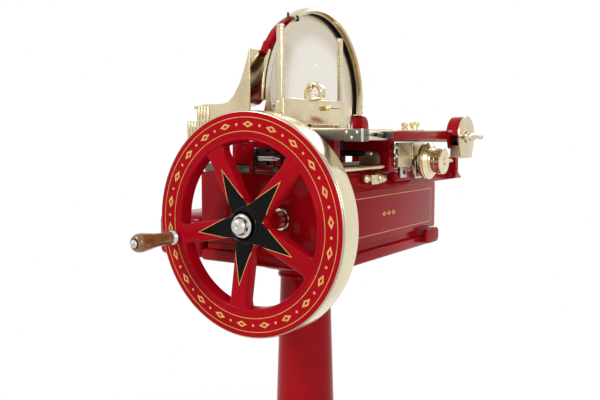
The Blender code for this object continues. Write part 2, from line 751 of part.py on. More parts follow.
def build_knife():
    half = BLADE_THICKNESS / 2
    centre = (KNIFE_Y, KNIFE_Z)
    edge = BLADE_THICKNESS / 10
    profile = (
        (0, KNIFE_X - half),
        (KNIFE_RADIUS - BLADE_BEVEL, KNIFE_X - half),
        (KNIFE_RADIUS, KNIFE_X - edge),
        (KNIFE_RADIUS, KNIFE_X + edge),
        (KNIFE_RADIUS - BLADE_BEVEL, KNIFE_X + half),
        (0, KNIFE_X + half),
    )
    turned("knife_blade", profile, "X", centre, "knife", NICKEL, steps=72)

    hub_right = KNIFE_X - half - GAP
    hub_left = hub_right - KNIFE_HUB_LENGTH
    left, right = CHAIN_X - KNIFE_CHAIN_HALF, CHAIN_X + KNIFE_CHAIN_HALF
    profile = (
        (0, KNIFE_SHAFT_LEFT),
        (SHAFT_RADIUS, KNIFE_SHAFT_LEFT),
        (SHAFT_RADIUS, left - BEVEL_BACK / 2),
        (KNIFE_SPROCKET_RADIUS, left, TOOTH_DEPTH),
        (KNIFE_SPROCKET_RADIUS, right, TOOTH_DEPTH),
        (SHAFT_RADIUS, right + BEVEL_BACK / 2),
        (SHAFT_RADIUS, hub_left),
        (KNIFE_HUB_RADIUS, hub_right - KNIFE_HUB_LENGTH / 3),
        (KNIFE_HUB_RADIUS, hub_right),
        (0, hub_right),
    )
    turned("knife_shaft", profile, "X", centre, "knife", STEEL, teeth=12)

    foot = DECK_TOP + GAP
    head = arc(centre, PEDESTAL_HEAD_RADIUS, 25, 155, 8)
    outline = ((PEDESTAL_FRONT, foot), (PEDESTAL_REAR, foot), *head)
    span = (PEDESTAL_LEFT, PEDESTAL_RIGHT)
    pedestal = extruded("knife_pedestal", outline, "X", span, "frame", RED)
    cavity_x = (PEDESTAL_LEFT + PEDESTAL_CHEEK, PEDESTAL_RIGHT - PEDESTAL_CHEEK)
    cavity_y = (PEDESTAL_FRONT - OVERRUN, PEDESTAL_REAR + OVERRUN)
    cavity_z = (foot + PEDESTAL_SOLE, KNIFE_Z + PEDESTAL_HEAD_RADIUS + OVERRUN)
    cavity = block("cutter_pedestal_cavity", cavity_x, cavity_y, cavity_z, "frame", RED)
    combine(pedestal, cavity, "DIFFERENCE")
    slot_x = (CHAIN_X - CHAIN_SLOT_HALF, CHAIN_X + CHAIN_SLOT_HALF)
    chain_half = KNIFE_CHAIN_OUTER + KNIFE_SLOT_MARGIN / 2
    slot_y = (KNIFE_Y - chain_half, KNIFE_Y + chain_half)
    slot_z = (foot - OVERRUN, foot + PEDESTAL_SOLE + OVERRUN)
    slot = block("cutter_pedestal_slot", slot_x, slot_y, slot_z, "frame", RED)
    combine(pedestal, slot, "DIFFERENCE")
    span = (PEDESTAL_LEFT - OVERRUN, PEDESTAL_RIGHT + OVERRUN)
    bore(pedestal, SHAFT_RADIUS + BORE_GAP, "X", centre, span, "frame")


def capsule(first, second, half):
    """Outline of a bar with round ends between two points."""
    heading = math.degrees(math.atan2(second[1] - first[1], second[0] - first[0]))
    ahead = arc(second, half, heading - 90, heading + 90, 8)
    return ahead + arc(first, half, heading + 90, heading + 270, 8)


def build_guard():
    centre = (KNIFE_Y, KNIFE_Z)
    inner = KNIFE_RADIUS + GUARD_INNER_GAP
    outer = inner + GUARD_BAND
    outline = arc_band(centre, inner, outer, GUARD_START, GUARD_END, 36)
    extruded("guard_ring", outline, "X", (GUARD_LEFT, GUARD_RIGHT), "frame", NICKEL)

    outer_front = inner + GUARD_BAND / 2
    inner_front = outer_front - GUARD_FRONT_BAND
    outline = arc_band(centre, inner_front, outer_front, GUARD_FRONT_START, GUARD_FRONT_END, 10)
    span = (GUARD_LEFT, GUARD_LEFT + GUARD_FRONT_THICKNESS)
    extruded("guard_front", outline, "X", span, "frame", NICKEL)

    middle = (inner + outer) / 2
    upper = arc(centre, middle, GUARD_END - 3, GUARD_END - 3, 1)[0]
    lower = arc(centre, (inner_front + outer_front) / 2, GUARD_FRONT_START + 3, GUARD_FRONT_START + 3, 1)[0]
    span = (DEFLECTOR_TOP_X + SHEET / 2 + GAP, GUARD_LEFT - GAP)
    extruded("guard_arm", capsule(lower, upper, GUARD_ARM_HALF), "X", span, "frame", RED)

    end_low = arc(centre, outer, GUARD_START, GUARD_START, 1)[0][1]
    top = end_low - GAP
    front = KNIFE_Y + KNIFE_RADIUS + GUARD_INNER_GAP
    rear = front + GUARD_FOOT_LENGTH
    rounding = arc((rear - GUARD_FOOT_ROUND, top - GUARD_FOOT_ROUND), GUARD_FOOT_ROUND, 0, 90, 8)
    outline = ((front, DECK_TOP + GAP), (rear, DECK_TOP + GAP), *rounding, (front, top))
    extruded("guard_bracket", outline, "X", (GUARD_LEFT, GUARD_RIGHT), "frame", RED)


# Slice deflector, fender and what carries them
SHEET = 0.0025
FENDER_THICKNESS = 0.003
FENDER_REAR = 0.1007
FENDER_BOTTOM = 0.139
FENDER_TOP = 0.205
FENDER_ROUND = 0.015
DEFLECTOR_TOP_X = -0.064
DEFLECTOR_TOP_Z = 0.303
DEFLECTOR_REAR = 0.195
SWEEP_LEFT = -0.130
STEEL_BAR_LEFT = -0.178
STEEL_BAR_RIGHT = -0.070
STEEL_BAR_DEPTH = 0.020
STEEL_BAR_HEIGHT = 0.016
FENDER_POST_LEFT = -0.106
FENDER_POST_WIDTH = 0.022
FENDER_POST_DEPTH = 0.025


def sweep_line():
    """The deflector's line from the fender's bottom left, over its corner, up beside the knife."""
    corner = arc((BODY_LEFT + FENDER_ROUND, FENDER_TOP - FENDER_ROUND), FENDER_ROUND, 180, 90, 4)
    rise_shares = ((0, 0), (0.25, 0.035), (0.47, 0.16), (0.68, 0.38), (0.84, 0.64), (0.95, 0.85), (1, 1))
    wide, tall = DEFLECTOR_TOP_X - SWEEP_LEFT, DEFLECTOR_TOP_Z - FENDER_TOP
    rise = [(SWEEP_LEFT + wide * across, FENDER_TOP + tall * up) for across, up in rise_shares]
    return [(BODY_LEFT, FENDER_BOTTOM), *corner, *rise]


def thickened(line, half):
    """Outline of a sheet whose middle follows a line."""
    one_side, other_side = [], []
    for i, (x, z) in enumerate(line):
        before, after = line[max(i - 1, 0)], line[min(i + 1, len(line) - 1)]
        run_x, run_z = after[0] - before[0], after[1] - before[1]
        run = math.hypot(run_x, run_z)
        one_side.append((x - half * run_z / run, z + half * run_x / run))
        other_side.append((x + half * run_z / run, z - half * run_x / run))
    return one_side + other_side[::-1]


def build_fender():
    line = sweep_line()
    right = DEFLECTOR_TOP_X + SHEET / 2
    outline = [*line, (right, DEFLECTOR_TOP_Z), (right, FENDER_BOTTOM)]
    span = (FENDER_REAR - FENDER_THICKNESS, FENDER_REAR)
    extruded("fender_front", outline, "Y", span, "frame", NICKEL)
    span = (FENDER_REAR + GAP, DEFLECTOR_REAR)
    extruded("slice_deflector", thickened(line, SHEET / 2), "Y", span, "frame", NICKEL)

    bar_low = DECK_TOP + GAP
    bar_front = BODY_FRONT + GAP
    x_range = (STEEL_BAR_LEFT, STEEL_BAR_RIGHT)
    y_range = (bar_front, bar_front + STEEL_BAR_DEPTH)
    z_range = (bar_low, bar_low + STEEL_BAR_HEIGHT)
    block("steel_bar", x_range, y_range, z_range, "frame", STEEL, edge=SOFT_EDGE)
    post_front = FENDER_REAR + GAP
    x_range = (FENDER_POST_LEFT, FENDER_POST_LEFT + FENDER_POST_WIDTH)
    y_range = (post_front, post_front + FENDER_POST_DEPTH)
    z_range = (bar_low + STEEL_BAR_HEIGHT + GAP, FENDER_TOP - SHEET / 2 - GAP)
    block("fender_post", x_range, y_range, z_range, "frame", RED)


# Rail, slide rod and its posts
ROD_X = 0.090
ROD_Z = 0.088
ROD_RADIUS = 0.005
ROD_POST_HALF = 0.008
ROD_POST_TOP = 0.097
ROD_POST_RIGHT = 0.098
ROD_POST_LEFT = 0.074
FRONT_ROD_POST_Y = 0.112
FRONT_ROD_POST_HALF = 0.0045
REAR_ROD_POST_Y = 0.691
RAIL_LEFT = -0.028
RAIL_RIGHT = -0.016
RAIL_HEIGHT = 0.012
RAIL_FRONT = 0.118
RAIL_REAR = 0.700


def build_rails():
    z_range = (DECK_TOP + GAP, DECK_TOP + GAP + RAIL_HEIGHT)
    block("left_rail", (RAIL_LEFT, RAIL_RIGHT), (RAIL_FRONT, RAIL_REAR), z_range, "frame", STEEL)

    front, rear = FRONT_ROD_POST_Y - FRONT_ROD_POST_HALF, REAR_ROD_POST_Y + ROD_POST_HALF
    profile = ((0, front), (ROD_RADIUS, front), (ROD_RADIUS, rear), (0, rear))
    turned("slide_rod", profile, "Y", (ROD_X, ROD_Z), "frame", NICKEL, steps=24)

    toe = BODY_RIGHT - GAP
    outline = (
        (ROD_POST_LEFT, shoulder_z(ROD_POST_LEFT) + 2 * GAP),
        (toe, shoulder_z(toe) + 2 * GAP),
        (ROD_POST_RIGHT, shoulder_z(toe) + ROD_POST_HALF),
        (ROD_POST_RIGHT, ROD_POST_TOP),
        (ROD_POST_LEFT, ROD_POST_TOP),
    )
    hole = circle((ROD_X, ROD_Z), ROD_RADIUS + GAP)
    posts = (
        ("rod_post_front", FRONT_ROD_POST_Y, FRONT_ROD_POST_HALF),
        ("rod_post_rear", REAR_ROD_POST_Y, ROD_POST_HALF),
    )
    for name, middle, half in posts:
        extruded(name, outline, "Y", (middle - half, middle + half), "frame", RED, holes=(hole,))


# Carriage
TABLE_LEFT = -0.028
TABLE_RIGHT = 0.180
TABLE_REAR = 0.430
GROOVE_LEFT = 0.050
GROOVE_WIDTH = 0.002
BAND_THICKNESS = 0.0057
SIDE_THICKNESS = 0.0047
SIDE_BAR_REAR = 0.160
SIDE_BAR_LOW = 0.143
SIDE_BAR_HIGH = 0.155
ARM_THICKNESS = 0.010
ARM_LOW = 0.140
ARM_HIGH = 0.156
ANGLE_LEG_X = 0.030
ANGLE_LEG_Y = 0.022
ANGLE_THICKNESS = 0.0023
ANGLE_MARGIN = 0.0015
LEG_RIGHT = 0.100
LEG_BEAM_LOW = 0.117
LEG_OPENING_LEFT = -0.010
LEG_OPENING_ROUND = 0.014
LEG_SMALL_ROUND = 0.002
LEG_POST_WIDTH = 0.020
LEG_FOOT_Z = 0.077
LEG_HALF = 0.010
FRONT_LEG_Y = 0.130
REAR_LEG_Y = 0.330
YOKE_HALF = 0.038
YOKE_LOW = 0.0600
YOKE_HIGH = 0.0648
RAIL_BAR_WIDTH = 0.0137
END_LUG_WIDTH = 0.012
END_LUG_LOW = 0.135
END_LUG_REAR = 0.470


def build_carriage():
    front = CARRIAGE_FRONT + BAND_THICKNESS + GAP
    table_z = (TABLE_BOTTOM, TABLE_TOP)
    table_x = (TABLE_LEFT, TABLE_RIGHT)
    table = block("carriage_table", table_x, (front, TABLE_REAR), table_z, "carriage", CREAM)
    groove_x = (GROOVE_LEFT, GROOVE_LEFT + GROOVE_WIDTH)
    groove_y = (front - OVERRUN, TABLE_REAR + OVERRUN)
    groove_z = (TABLE_TOP - GROOVE_WIDTH / 2, TABLE_TOP + OVERRUN)
    groove = block("cutter_table_groove", groove_x, groove_y, groove_z, "carriage", CREAM)
    combine(table, groove, "DIFFERENCE")
    right = TABLE_RIGHT + GAP + SIDE_THICKNESS
    y_range = (CARRIAGE_FRONT, CARRIAGE_FRONT + BAND_THICKNESS)
    block("front_band", (TABLE_LEFT, right), y_range, table_z, "carriage", STEEL)

    corner_x, corner_y = right + GAP, CARRIAGE_FRONT - GAP
    outline = (
        (corner_x - ANGLE_LEG_X, corner_y - ANGLE_THICKNESS),
        (corner_x + ANGLE_THICKNESS, corner_y - ANGLE_THICKNESS),
        (corner_x + ANGLE_THICKNESS, corner_y + ANGLE_LEG_Y),
        (corner_x, corner_y + ANGLE_LEG_Y),
        (corner_x, corner_y),
        (corner_x - ANGLE_LEG_X, corner_y),
    )
    span = (TABLE_BOTTOM - ANGLE_MARGIN, TABLE_TOP + ANGLE_MARGIN)
    extruded("corner_bracket", outline, "Z", span, "carriage", STEEL)

    side = TABLE_RIGHT + GAP
    side_y = (front, SIDE_BAR_REAR)
    side_z = (SIDE_BAR_LOW, SIDE_BAR_HIGH)
    block("side_bar", (side, side + SIDE_THICKNESS), side_y, side_z, "carriage", CREAM)
    arm_y = (SIDE_BAR_REAR + GAP, SCREW_Y - HOUSING_RADIUS - GAP)
    arm_z = (ARM_LOW, ARM_HIGH)
    block("feed_arm", (side, side + ARM_THICKNESS), arm_y, arm_z, "carriage", RED, edge=SOFT_EDGE)

    post_left = LEG_RIGHT - LEG_POST_WIDTH
    beam_low = LEG_BEAM_LOW
    rail_top = DECK_TOP + 2 * GAP + RAIL_HEIGHT
    large, small = LEG_OPENING_ROUND, LEG_SMALL_ROUND
    curve_right = arc((post_left - large, beam_low - large), large, 0, 90, 4)
    curve_left = arc((LEG_OPENING_LEFT + small, beam_low - small), small, 90, 180, 3)
    outline = (
        (TABLE_LEFT, rail_top),
        (TABLE_LEFT, TABLE_BOTTOM - GAP),
        (LEG_RIGHT, TABLE_BOTTOM - GAP),
        (LEG_RIGHT, LEG_FOOT_Z),
        (post_left, LEG_FOOT_Z),
        *curve_right,
        *curve_left,
        (LEG_OPENING_LEFT, rail_top),
    )
    hole = circle((ROD_X, ROD_Z), ROD_RADIUS + BORE_GAP)
    for name, middle in (("front_leg", FRONT_LEG_Y), ("rear_leg", REAR_LEG_Y)):
        span = (middle - LEG_HALF, middle + LEG_HALF)
        extruded(name, outline, "Y", span, "carriage", RED, holes=(hole,))

    outline = (
        (-YOKE_HALF, YOKE_LOW),
        (YOKE_HALF, YOKE_LOW),
        (YOKE_HALF, YOKE_HIGH),
        (DOG_HALF_X, YOKE_HIGH),
        (DOG_HALF_X, beam_low - GAP),
        (-DOG_HALF_X, beam_low - GAP),
        (-DOG_HALF_X, YOKE_HIGH),
        (-YOKE_HALF, YOKE_HIGH),
    )
    span = (DOG_Y - DOG_HALF_Y, DOG_Y + DOG_HALF_Y)
    extruded("drive_dog", outline, "Y", span, "carriage", STEEL)

    rail_front = TABLE_REAR + GAP
    rail_rear = rail_front + RAIL_BAR_WIDTH
    rail_x = (TABLE_LEFT, TABLE_RIGHT - GAP)
    lug_right = TABLE_LEFT + END_LUG_WIDTH
    outline = (
        (TABLE_LEFT, rail_front),
        (rail_x[1], rail_front),
        (rail_x[1], rail_rear),
        (lug_right, rail_rear),
        (lug_right, END_LUG_REAR),
        (TABLE_LEFT, END_LUG_REAR),
    )
    rail = extruded("rear_rail", outline, "Z", (END_LUG_LOW, TABLE_TOP), "carriage", CREAM)
    span = (TABLE_LEFT - OVERRUN, lug_right + OVERRUN)
    bore(rail, SCREW_RADIUS + BORE_GAP, "X", (SCREW_Y, SCREW_Z), span, "carriage")


# Feed: housing, screw with its T handle, slide that carries the press posts
HOUSING_RADIUS = 0.040
HOUSING_LENGTH = 0.025
HOUSING_FOOT_HALF = 0.024
PLATE_RADIUS = 0.042
PLATE_FOOT_HALF = 0.027
PLATE_THICKNESS = 0.004
HANDLE_BOSS = 0.008
HANDLE_HALF = 0.045
HANDLE_BAR_RADIUS = 0.004
HANDLE_BALL = 0.008
SLIDE_RIGHT = 0.040
SLIDE_THICKNESS = 0.003
NUT_LEFT = 0.000
NUT_WIDTH = 0.025
NUT_DEPTH = 0.022


def drum_outline(radius, foot_half):
    """Outline of the feed drum: round over the top, tapered to a flat foot."""
    centre = (SCREW_Y, SCREW_Z)
    low = SCREW_Z - radius
    return arc(centre, radius, -20, 200, 18) + [(SCREW_Y - foot_half, low), (SCREW_Y + foot_half, low)]


def build_feed():
    left = TABLE_RIGHT
    right = left + HOUSING_LENGTH
    hole = circle((SCREW_Y, SCREW_Z), SCREW_RADIUS + BORE_GAP)
    outline = drum_outline(HOUSING_RADIUS, HOUSING_FOOT_HALF)
    extruded("feed_housing", outline, "X", (left, right), "carriage", RED, holes=(hole,))
    outline = drum_outline(PLATE_RADIUS, PLATE_FOOT_HALF)
    plate = (right + GAP, right + GAP + PLATE_THICKNESS)
    extruded("feed_plate", outline, "X", plate, "carriage", NICKEL, holes=(hole,))

    centre = (SCREW_Y, SCREW_Z)
    collar = plate[1] + BORE_GAP
    end = collar + HANDLE_BAR_RADIUS / 2
    profile = (
        (0, TABLE_LEFT + GAP),
        (SCREW_RADIUS, TABLE_LEFT + GAP),
        (SCREW_RADIUS, collar),
        (1.5 * HANDLE_BOSS, collar),
        (1.5 * HANDLE_BOSS, end),
        (0, end),
    )
    turned("feed_screw", profile, "X", centre, "feed_screw", STEEL, steps=24)

    bar_x = end + GAP + HANDLE_BOSS
    profile = [(0, SCREW_Y - HANDLE_HALF)]
    shares = ((0.5, 0), (1.2, 0.25), (1, 0.7))
    for wide, far in shares:
        profile.append((wide * HANDLE_BAR_RADIUS, SCREW_Y - HANDLE_HALF + far * (HANDLE_HALF - HANDLE_BOSS)))
    profile += [(HANDLE_BOSS, SCREW_Y - HANDLE_BOSS), (HANDLE_BOSS, SCREW_Y + HANDLE_BOSS)]
    ball = SCREW_Y + HANDLE_HALF
    profile.append((HANDLE_BAR_RADIUS, ball - 2 * HANDLE_BALL))
    for step in range(1, 6):
        turn = math.pi * step / 6
        profile.append((HANDLE_BALL * math.sin(turn), ball - HANDLE_BALL * math.cos(turn)))
    profile.append((0, ball + HANDLE_BALL))
    turned("feed_handle", profile, "Y", (bar_x, SCREW_Z), "feed_screw", NICKEL, steps=20)

    low = TABLE_TOP + GAP
    slide_z = (low, low + SLIDE_THICKNESS)
    slide_front = CARRIAGE_FRONT + BAND_THICKNESS
    slide_rear = SCREW_Y + NUT_DEPTH / 2
    slide = block("feed_slide", (TABLE_LEFT + OVERRUN, SLIDE_RIGHT), (slide_front, slide_rear), slide_z,
                  "feed_slide", NICKEL)
    nut_y = (SCREW_Y - NUT_DEPTH / 2, slide_rear)
    nut_z = (END_LUG_LOW, low + SLIDE_THICKNESS / 2)
    nut = block("guide_feed_nut", (NUT_LEFT, NUT_LEFT + NUT_WIDTH), nut_y, nut_z, "feed_slide", NICKEL)
    combine(slide, nut, "UNION")
    span = (NUT_LEFT - OVERRUN, NUT_LEFT + NUT_WIDTH + OVERRUN)
    bore(slide, SCREW_RADIUS + BORE_GAP, "X", centre, span, "feed_slide")


# Press: two posts on the feed slide, bar with comb, knob and latch
POST_TOP = 0.337
POST_FOOT_RADIUS = 0.011
POST_FOOT_HEIGHT = 0.005
RACK_TOP = 0.333
RACK_PITCH = 0.006
RACK_TOOTH = 0.003
BAR_FRONT = 0.068
BAR_REAR = 0.293
BAR_LEFT = 0.0243
BAR_THICKNESS = 0.007
BAR_LOW = 0.168
BAR_HIGH = 0.213
COMB_TEETH = 18
COMB_DEPTH = 0.005
COLLAR_HALF = 0.0115
COLLAR_LOW = 0.172
COLLAR_HIGH = 0.208
PRESS_KNOB_Y = 0.190
PRESS_KNOB_RADIUS = 0.020
PRESS_KNOB_HEIGHT = 0.032
LATCH_Y = 0.220
LATCH_Z = 0.198
LATCH_RADIUS = 0.009
LATCH_LENGTH = 0.008


def build_press():
    foot = TABLE_TOP + 2 * GAP + SLIDE_THICKNESS
    profile = (
        (0, foot),
        (POST_FOOT_RADIUS, foot),
        (POST_FOOT_RADIUS, foot + POST_FOOT_HEIGHT),
        (POST_RADIUS, foot + POST_FOOT_HEIGHT),
        (POST_RADIUS, POST_TOP - POST_RADIUS / 2),
        (POST_RADIUS / 2, POST_TOP),
        (0, POST_TOP),
    )
    turned("press_post_front", profile, "Z", (POST_X, FRONT_POST_Y), "feed_slide", NICKEL, steps=24)

    near, far = REAR_POST_Y - POST_RADIUS, REAR_POST_Y + POST_RADIUS
    outline = [(near, foot), (far, foot)]
    count = int((RACK_TOP - foot) / RACK_PITCH)
    for index in range(count):
        height = foot + index * RACK_PITCH
        outline += [(far, height + RACK_PITCH / 4), (far + RACK_TOOTH, height + 3 * RACK_PITCH / 4)]
    outline += [(far, foot + count * RACK_PITCH), (far, RACK_TOP), (near, RACK_TOP)]
    span = (POST_X - POST_RADIUS, POST_X + POST_RADIUS)
    extruded("press_post_rear", outline, "X", span, "feed_slide", STEEL)

    comb_front = FRONT_POST_Y + POST_FOOT_RADIUS + OVERRUN
    comb_pitch = (REAR_POST_Y - POST_FOOT_RADIUS - OVERRUN - comb_front) / COMB_TEETH
    outline = [(BAR_FRONT, BAR_LOW)]
    for index in range(COMB_TEETH):
        start = comb_front + index * comb_pitch
        outline += [(start, BAR_LOW), (start + 0.45 * comb_pitch, BAR_LOW - COMB_DEPTH)]
        outline.append((start + 0.9 * comb_pitch, BAR_LOW))
    outline += [(BAR_REAR, BAR_LOW), (BAR_REAR, BAR_HIGH), (BAR_FRONT, BAR_HIGH)]
    bar_x = (BAR_LEFT, BAR_LEFT + BAR_THICKNESS)
    bar = extruded("press_bar", outline, "X", bar_x, "press", NICKEL)
    collar_x = (POST_X - COLLAR_HALF, BAR_LEFT + BAR_THICKNESS / 2)
    for name, middle in (("front", FRONT_POST_Y), ("rear", REAR_POST_Y)):
        collar_y = (middle - COLLAR_HALF, middle + COLLAR_HALF)
        collar_z = (COLLAR_LOW, COLLAR_HIGH)
        collar = block("guide_collar_" + name, collar_x, collar_y, collar_z, "press", NICKEL)
        combine(bar, collar, "UNION")
    span = (COLLAR_LOW - OVERRUN, COLLAR_HIGH + OVERRUN)
    bore(bar, POST_RADIUS + BORE_GAP, "Z", (POST_X, FRONT_POST_Y), span, "press")
    hole_x = (POST_X - POST_RADIUS - BORE_GAP, POST_X + POST_RADIUS + BORE_GAP)
    hole_y = (near - BORE_GAP, far + RACK_TOOTH + BORE_GAP)
    square = block("cutter_rack_hole", hole_x, hole_y, span, "press", NICKEL)
    combine(bar, square, "DIFFERENCE")

    foot = BAR_HIGH + GAP
    shares = ((0.62, 0), (0.62, 0.12), (0.35, 0.2), (0.35, 0.3))
    shares += ((0.85, 0.42), (1, 0.62), (0.9, 0.82), (0.55, 0.96))
    profile = [(0, foot)]
    profile += [(PRESS_KNOB_RADIUS * wide, foot + PRESS_KNOB_HEIGHT * up) for wide, up in shares]
    profile.append((0, foot + PRESS_KNOB_HEIGHT))
    knob_x = BAR_LEFT + BAR_THICKNESS / 2
    turned("press_knob", profile, "Z", (knob_x, PRESS_KNOB_Y), "press", NICKEL)

    start = bar_x[1] + GAP
    profile = (
        (0, start),
        (LATCH_RADIUS, start),
        (LATCH_RADIUS, start + LATCH_LENGTH / 2),
        (LATCH_RADIUS / 2, start + LATCH_LENGTH),
        (0, start + LATCH_LENGTH),
    )
    turned("press_latch", profile, "X", (LATCH_Y, LATCH_Z), "press", BRASS, steps=24)


# Thickness dial
BRACKET_FRONT = 0.430
BRACKET_REAR = 0.478
BRACKET_LEFT = 0.083
BRACKET_FOOT_TOP = 0.074
RISER_LEFT = 0.103
RISER_RIGHT = 0.110
RISER_TOP = 0.118
BRACKET_LOW = 0.034
BOSS_RADIUS = 0.018
BOSS_LENGTH = 0.0175
DIAL_SHAFT_RADIUS = 0.008
DIAL_FLANGE_RADIUS = 0.038
DIAL_DRUM_RADIUS = 0.031
DIAL_DISC_RADIUS = 0.0265
DIAL_FLANGE_LENGTH = 0.006
DIAL_DRUM_LENGTH = 0.016
DIAL_DISC_LENGTH = 0.014


def build_dial():
    side = BODY_RIGHT + 2 * GAP
    outline = (
        (BRACKET_LEFT, shoulder_z(BRACKET_LEFT) + 2 * GAP),
        (side, CREASE_Z + GAP),
        (side, BRACKET_LOW),
        (RISER_RIGHT, BRACKET_LOW),
        (RISER_RIGHT, RISER_TOP),
        (RISER_LEFT, RISER_TOP),
        (RISER_LEFT, BRACKET_FOOT_TOP),
        (BRACKET_LEFT, BRACKET_FOOT_TOP),
    )
    bracket = extruded("dial_bracket", outline, "Y", (BRACKET_FRONT, BRACKET_REAR), "frame", CREAM)
    centre = (DIAL_Y, DIAL_Z)
    boss_start = (RISER_LEFT + RISER_RIGHT) / 2
    boss_end = RISER_RIGHT + BOSS_LENGTH
    profile = ((0, boss_start), (BOSS_RADIUS, boss_start), (BOSS_RADIUS, boss_end), (0, boss_end))
    boss = turned("guide_dial_boss", profile, "X", centre, "frame", CREAM)
    combine(bracket, boss, "UNION")
    hole_span = (RISER_LEFT - OVERRUN, boss_end + OVERRUN)
    bore(bracket, DIAL_SHAFT_RADIUS + BORE_GAP, "X", centre, hole_span, "frame")

    start = RISER_LEFT + GAP
    flange = boss_end + BORE_GAP
    drum = flange + DIAL_FLANGE_LENGTH
    disc = drum + DIAL_DRUM_LENGTH
    end = disc + DIAL_DISC_LENGTH
    profile = (
        (0, start),
        (DIAL_SHAFT_RADIUS, start),
        (DIAL_SHAFT_RADIUS, flange),
        (DIAL_FLANGE_RADIUS, flange),
        (DIAL_FLANGE_RADIUS, drum),
        (DIAL_DRUM_RADIUS, drum),
        (DIAL_DRUM_RADIUS, disc),
        (DIAL_DISC_RADIUS, disc),
        (DIAL_DISC_RADIUS, end - GAP),
        (DIAL_DISC_RADIUS - OVERRUN / 2, end),
        (0, end),
    )
    turned("thickness_dial", profile, "X", centre, "dial", NICKEL)


build_pedestal()
build_tray()
build_body()
build_wheel()
build_shafts()
build_chains()
build_bearings()
build_knife()
build_guard()
build_fender()
build_rails()
build_carriage()
build_feed()
build_press()
build_dial()
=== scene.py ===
# %% [markdown]
# # A hand crank meat slicer on its pedestal
# The real machine is a set of enamelled iron castings that carry nickelled and steel parts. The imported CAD
# model gives every solid its place and its joint. This lesson dresses that frame: some solids only get a
# finish, others are covered by a piece with the roundings, beads and fittings of the real one.

# %% Load the frame
import json
import math

import bpy
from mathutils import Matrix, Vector

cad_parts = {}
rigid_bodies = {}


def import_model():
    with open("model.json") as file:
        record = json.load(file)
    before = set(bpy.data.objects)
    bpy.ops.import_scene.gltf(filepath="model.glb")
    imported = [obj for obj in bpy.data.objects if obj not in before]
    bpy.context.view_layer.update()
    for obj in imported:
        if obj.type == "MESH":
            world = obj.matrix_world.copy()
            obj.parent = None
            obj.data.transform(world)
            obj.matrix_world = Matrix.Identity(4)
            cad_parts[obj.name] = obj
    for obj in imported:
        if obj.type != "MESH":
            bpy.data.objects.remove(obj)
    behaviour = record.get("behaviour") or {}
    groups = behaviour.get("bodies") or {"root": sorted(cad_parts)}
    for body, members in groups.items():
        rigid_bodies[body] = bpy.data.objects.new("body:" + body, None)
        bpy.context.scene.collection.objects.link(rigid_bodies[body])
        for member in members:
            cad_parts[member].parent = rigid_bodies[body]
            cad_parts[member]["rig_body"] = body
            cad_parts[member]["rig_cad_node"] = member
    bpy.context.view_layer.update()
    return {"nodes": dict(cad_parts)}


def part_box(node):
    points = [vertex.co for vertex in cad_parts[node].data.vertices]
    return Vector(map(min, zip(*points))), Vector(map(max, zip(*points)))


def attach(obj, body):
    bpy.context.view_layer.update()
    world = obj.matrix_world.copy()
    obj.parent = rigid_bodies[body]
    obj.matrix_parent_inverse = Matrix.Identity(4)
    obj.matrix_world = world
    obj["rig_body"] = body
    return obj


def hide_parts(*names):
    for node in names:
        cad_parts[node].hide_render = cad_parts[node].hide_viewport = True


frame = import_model()
bpy.ops.object.select_all(action="DESELECT")

# %% [markdown]
# ## Places taken from the frame
# Nothing is measured twice. The middle of the wheel's front face, the knife's centre and the other axes
# are read from the boxes of the CAD nodes, and every size below is set off from them.


# %% Ends and middles of the nodes
def ends(node, axis):
    low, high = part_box(node)
    return low[axis], high[axis]


def middle(node):
    low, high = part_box(node)
    return (low + high) / 2


X, Y, Z = 0, 1, 2
wheel_centre = middle("flywheel")
wheel_centre.y = ends("flywheel", Y)[0]
knife_centre = middle("knife_blade")
wheel_radius = (ends("flywheel", X)[1] - ends("flywheel", X)[0]) / 2
knife_radius = (ends("knife_blade", Y)[1] - ends("knife_blade", Y)[0]) / 2
print("wheel", tuple(wheel_centre), "knife", tuple(knife_centre))

# %% [markdown]
# ## The camera
# The photograph was taken from the front right, a little above the table. The place and the lens were
# solved from the two ellipses of the wheel and the straight edges of the body, so they are plain numbers.

# %% Camera
camera_place = Vector((0.784, -1.208, 1.022))
camera_heading = Vector((-0.548, 0.831, -0.0906))
bpy.ops.object.camera_add(location=camera_place)
camera = bpy.context.object
camera.rotation_euler = camera_heading.to_track_quat("-Z", "Y").to_euler()
camera.data.lens = 43.86
camera.data.sensor_width = 36
bpy.context.scene.camera = camera
print("camera at", tuple(camera_place))

# %% [markdown]
# ## Node trees as plain sums
# A finish is easier to read as arithmetic than as a web of nodes. `Number` wraps a socket, and its
# operators add Math nodes. `Tree` makes any other node from its type, its settings and its inputs.


# %% Numbers and node trees
class Number:
    """A number that varies over a surface."""

    def __init__(self, tree, socket):
        self.tree = tree
        self.socket = socket

    def maths(self, operation, *values):
        node = self.tree.node("Math", {"operation": operation}, dict(enumerate(values)))
        return Number(self.tree, node.outputs[0])

    def __add__(self, other):
        return self.maths("ADD", self, other)

    def __sub__(self, other):
        return self.maths("SUBTRACT", self, other)

    def __rsub__(self, other):
        return self.maths("SUBTRACT", other, self)

    def __mul__(self, other):
        return self.maths("MULTIPLY", self, other)

    def __truediv__(self, other):
        return self.maths("DIVIDE", self, other)

    def __gt__(self, other):
        return self.maths("GREATER_THAN", self, other)

    def __lt__(self, other):
        return self.maths("LESS_THAN", self, other)

    __radd__ = __add__
    __rmul__ = __mul__

    def step(self, low, high):
        """0 below low, 1 above high, and a straight ramp between them."""
        ends = {1: low, 2: high}
        node = self.tree.node("MapRange", {"clamp": True}, {"Value": self, **ends})
        return Number(self.tree, node.outputs[0])


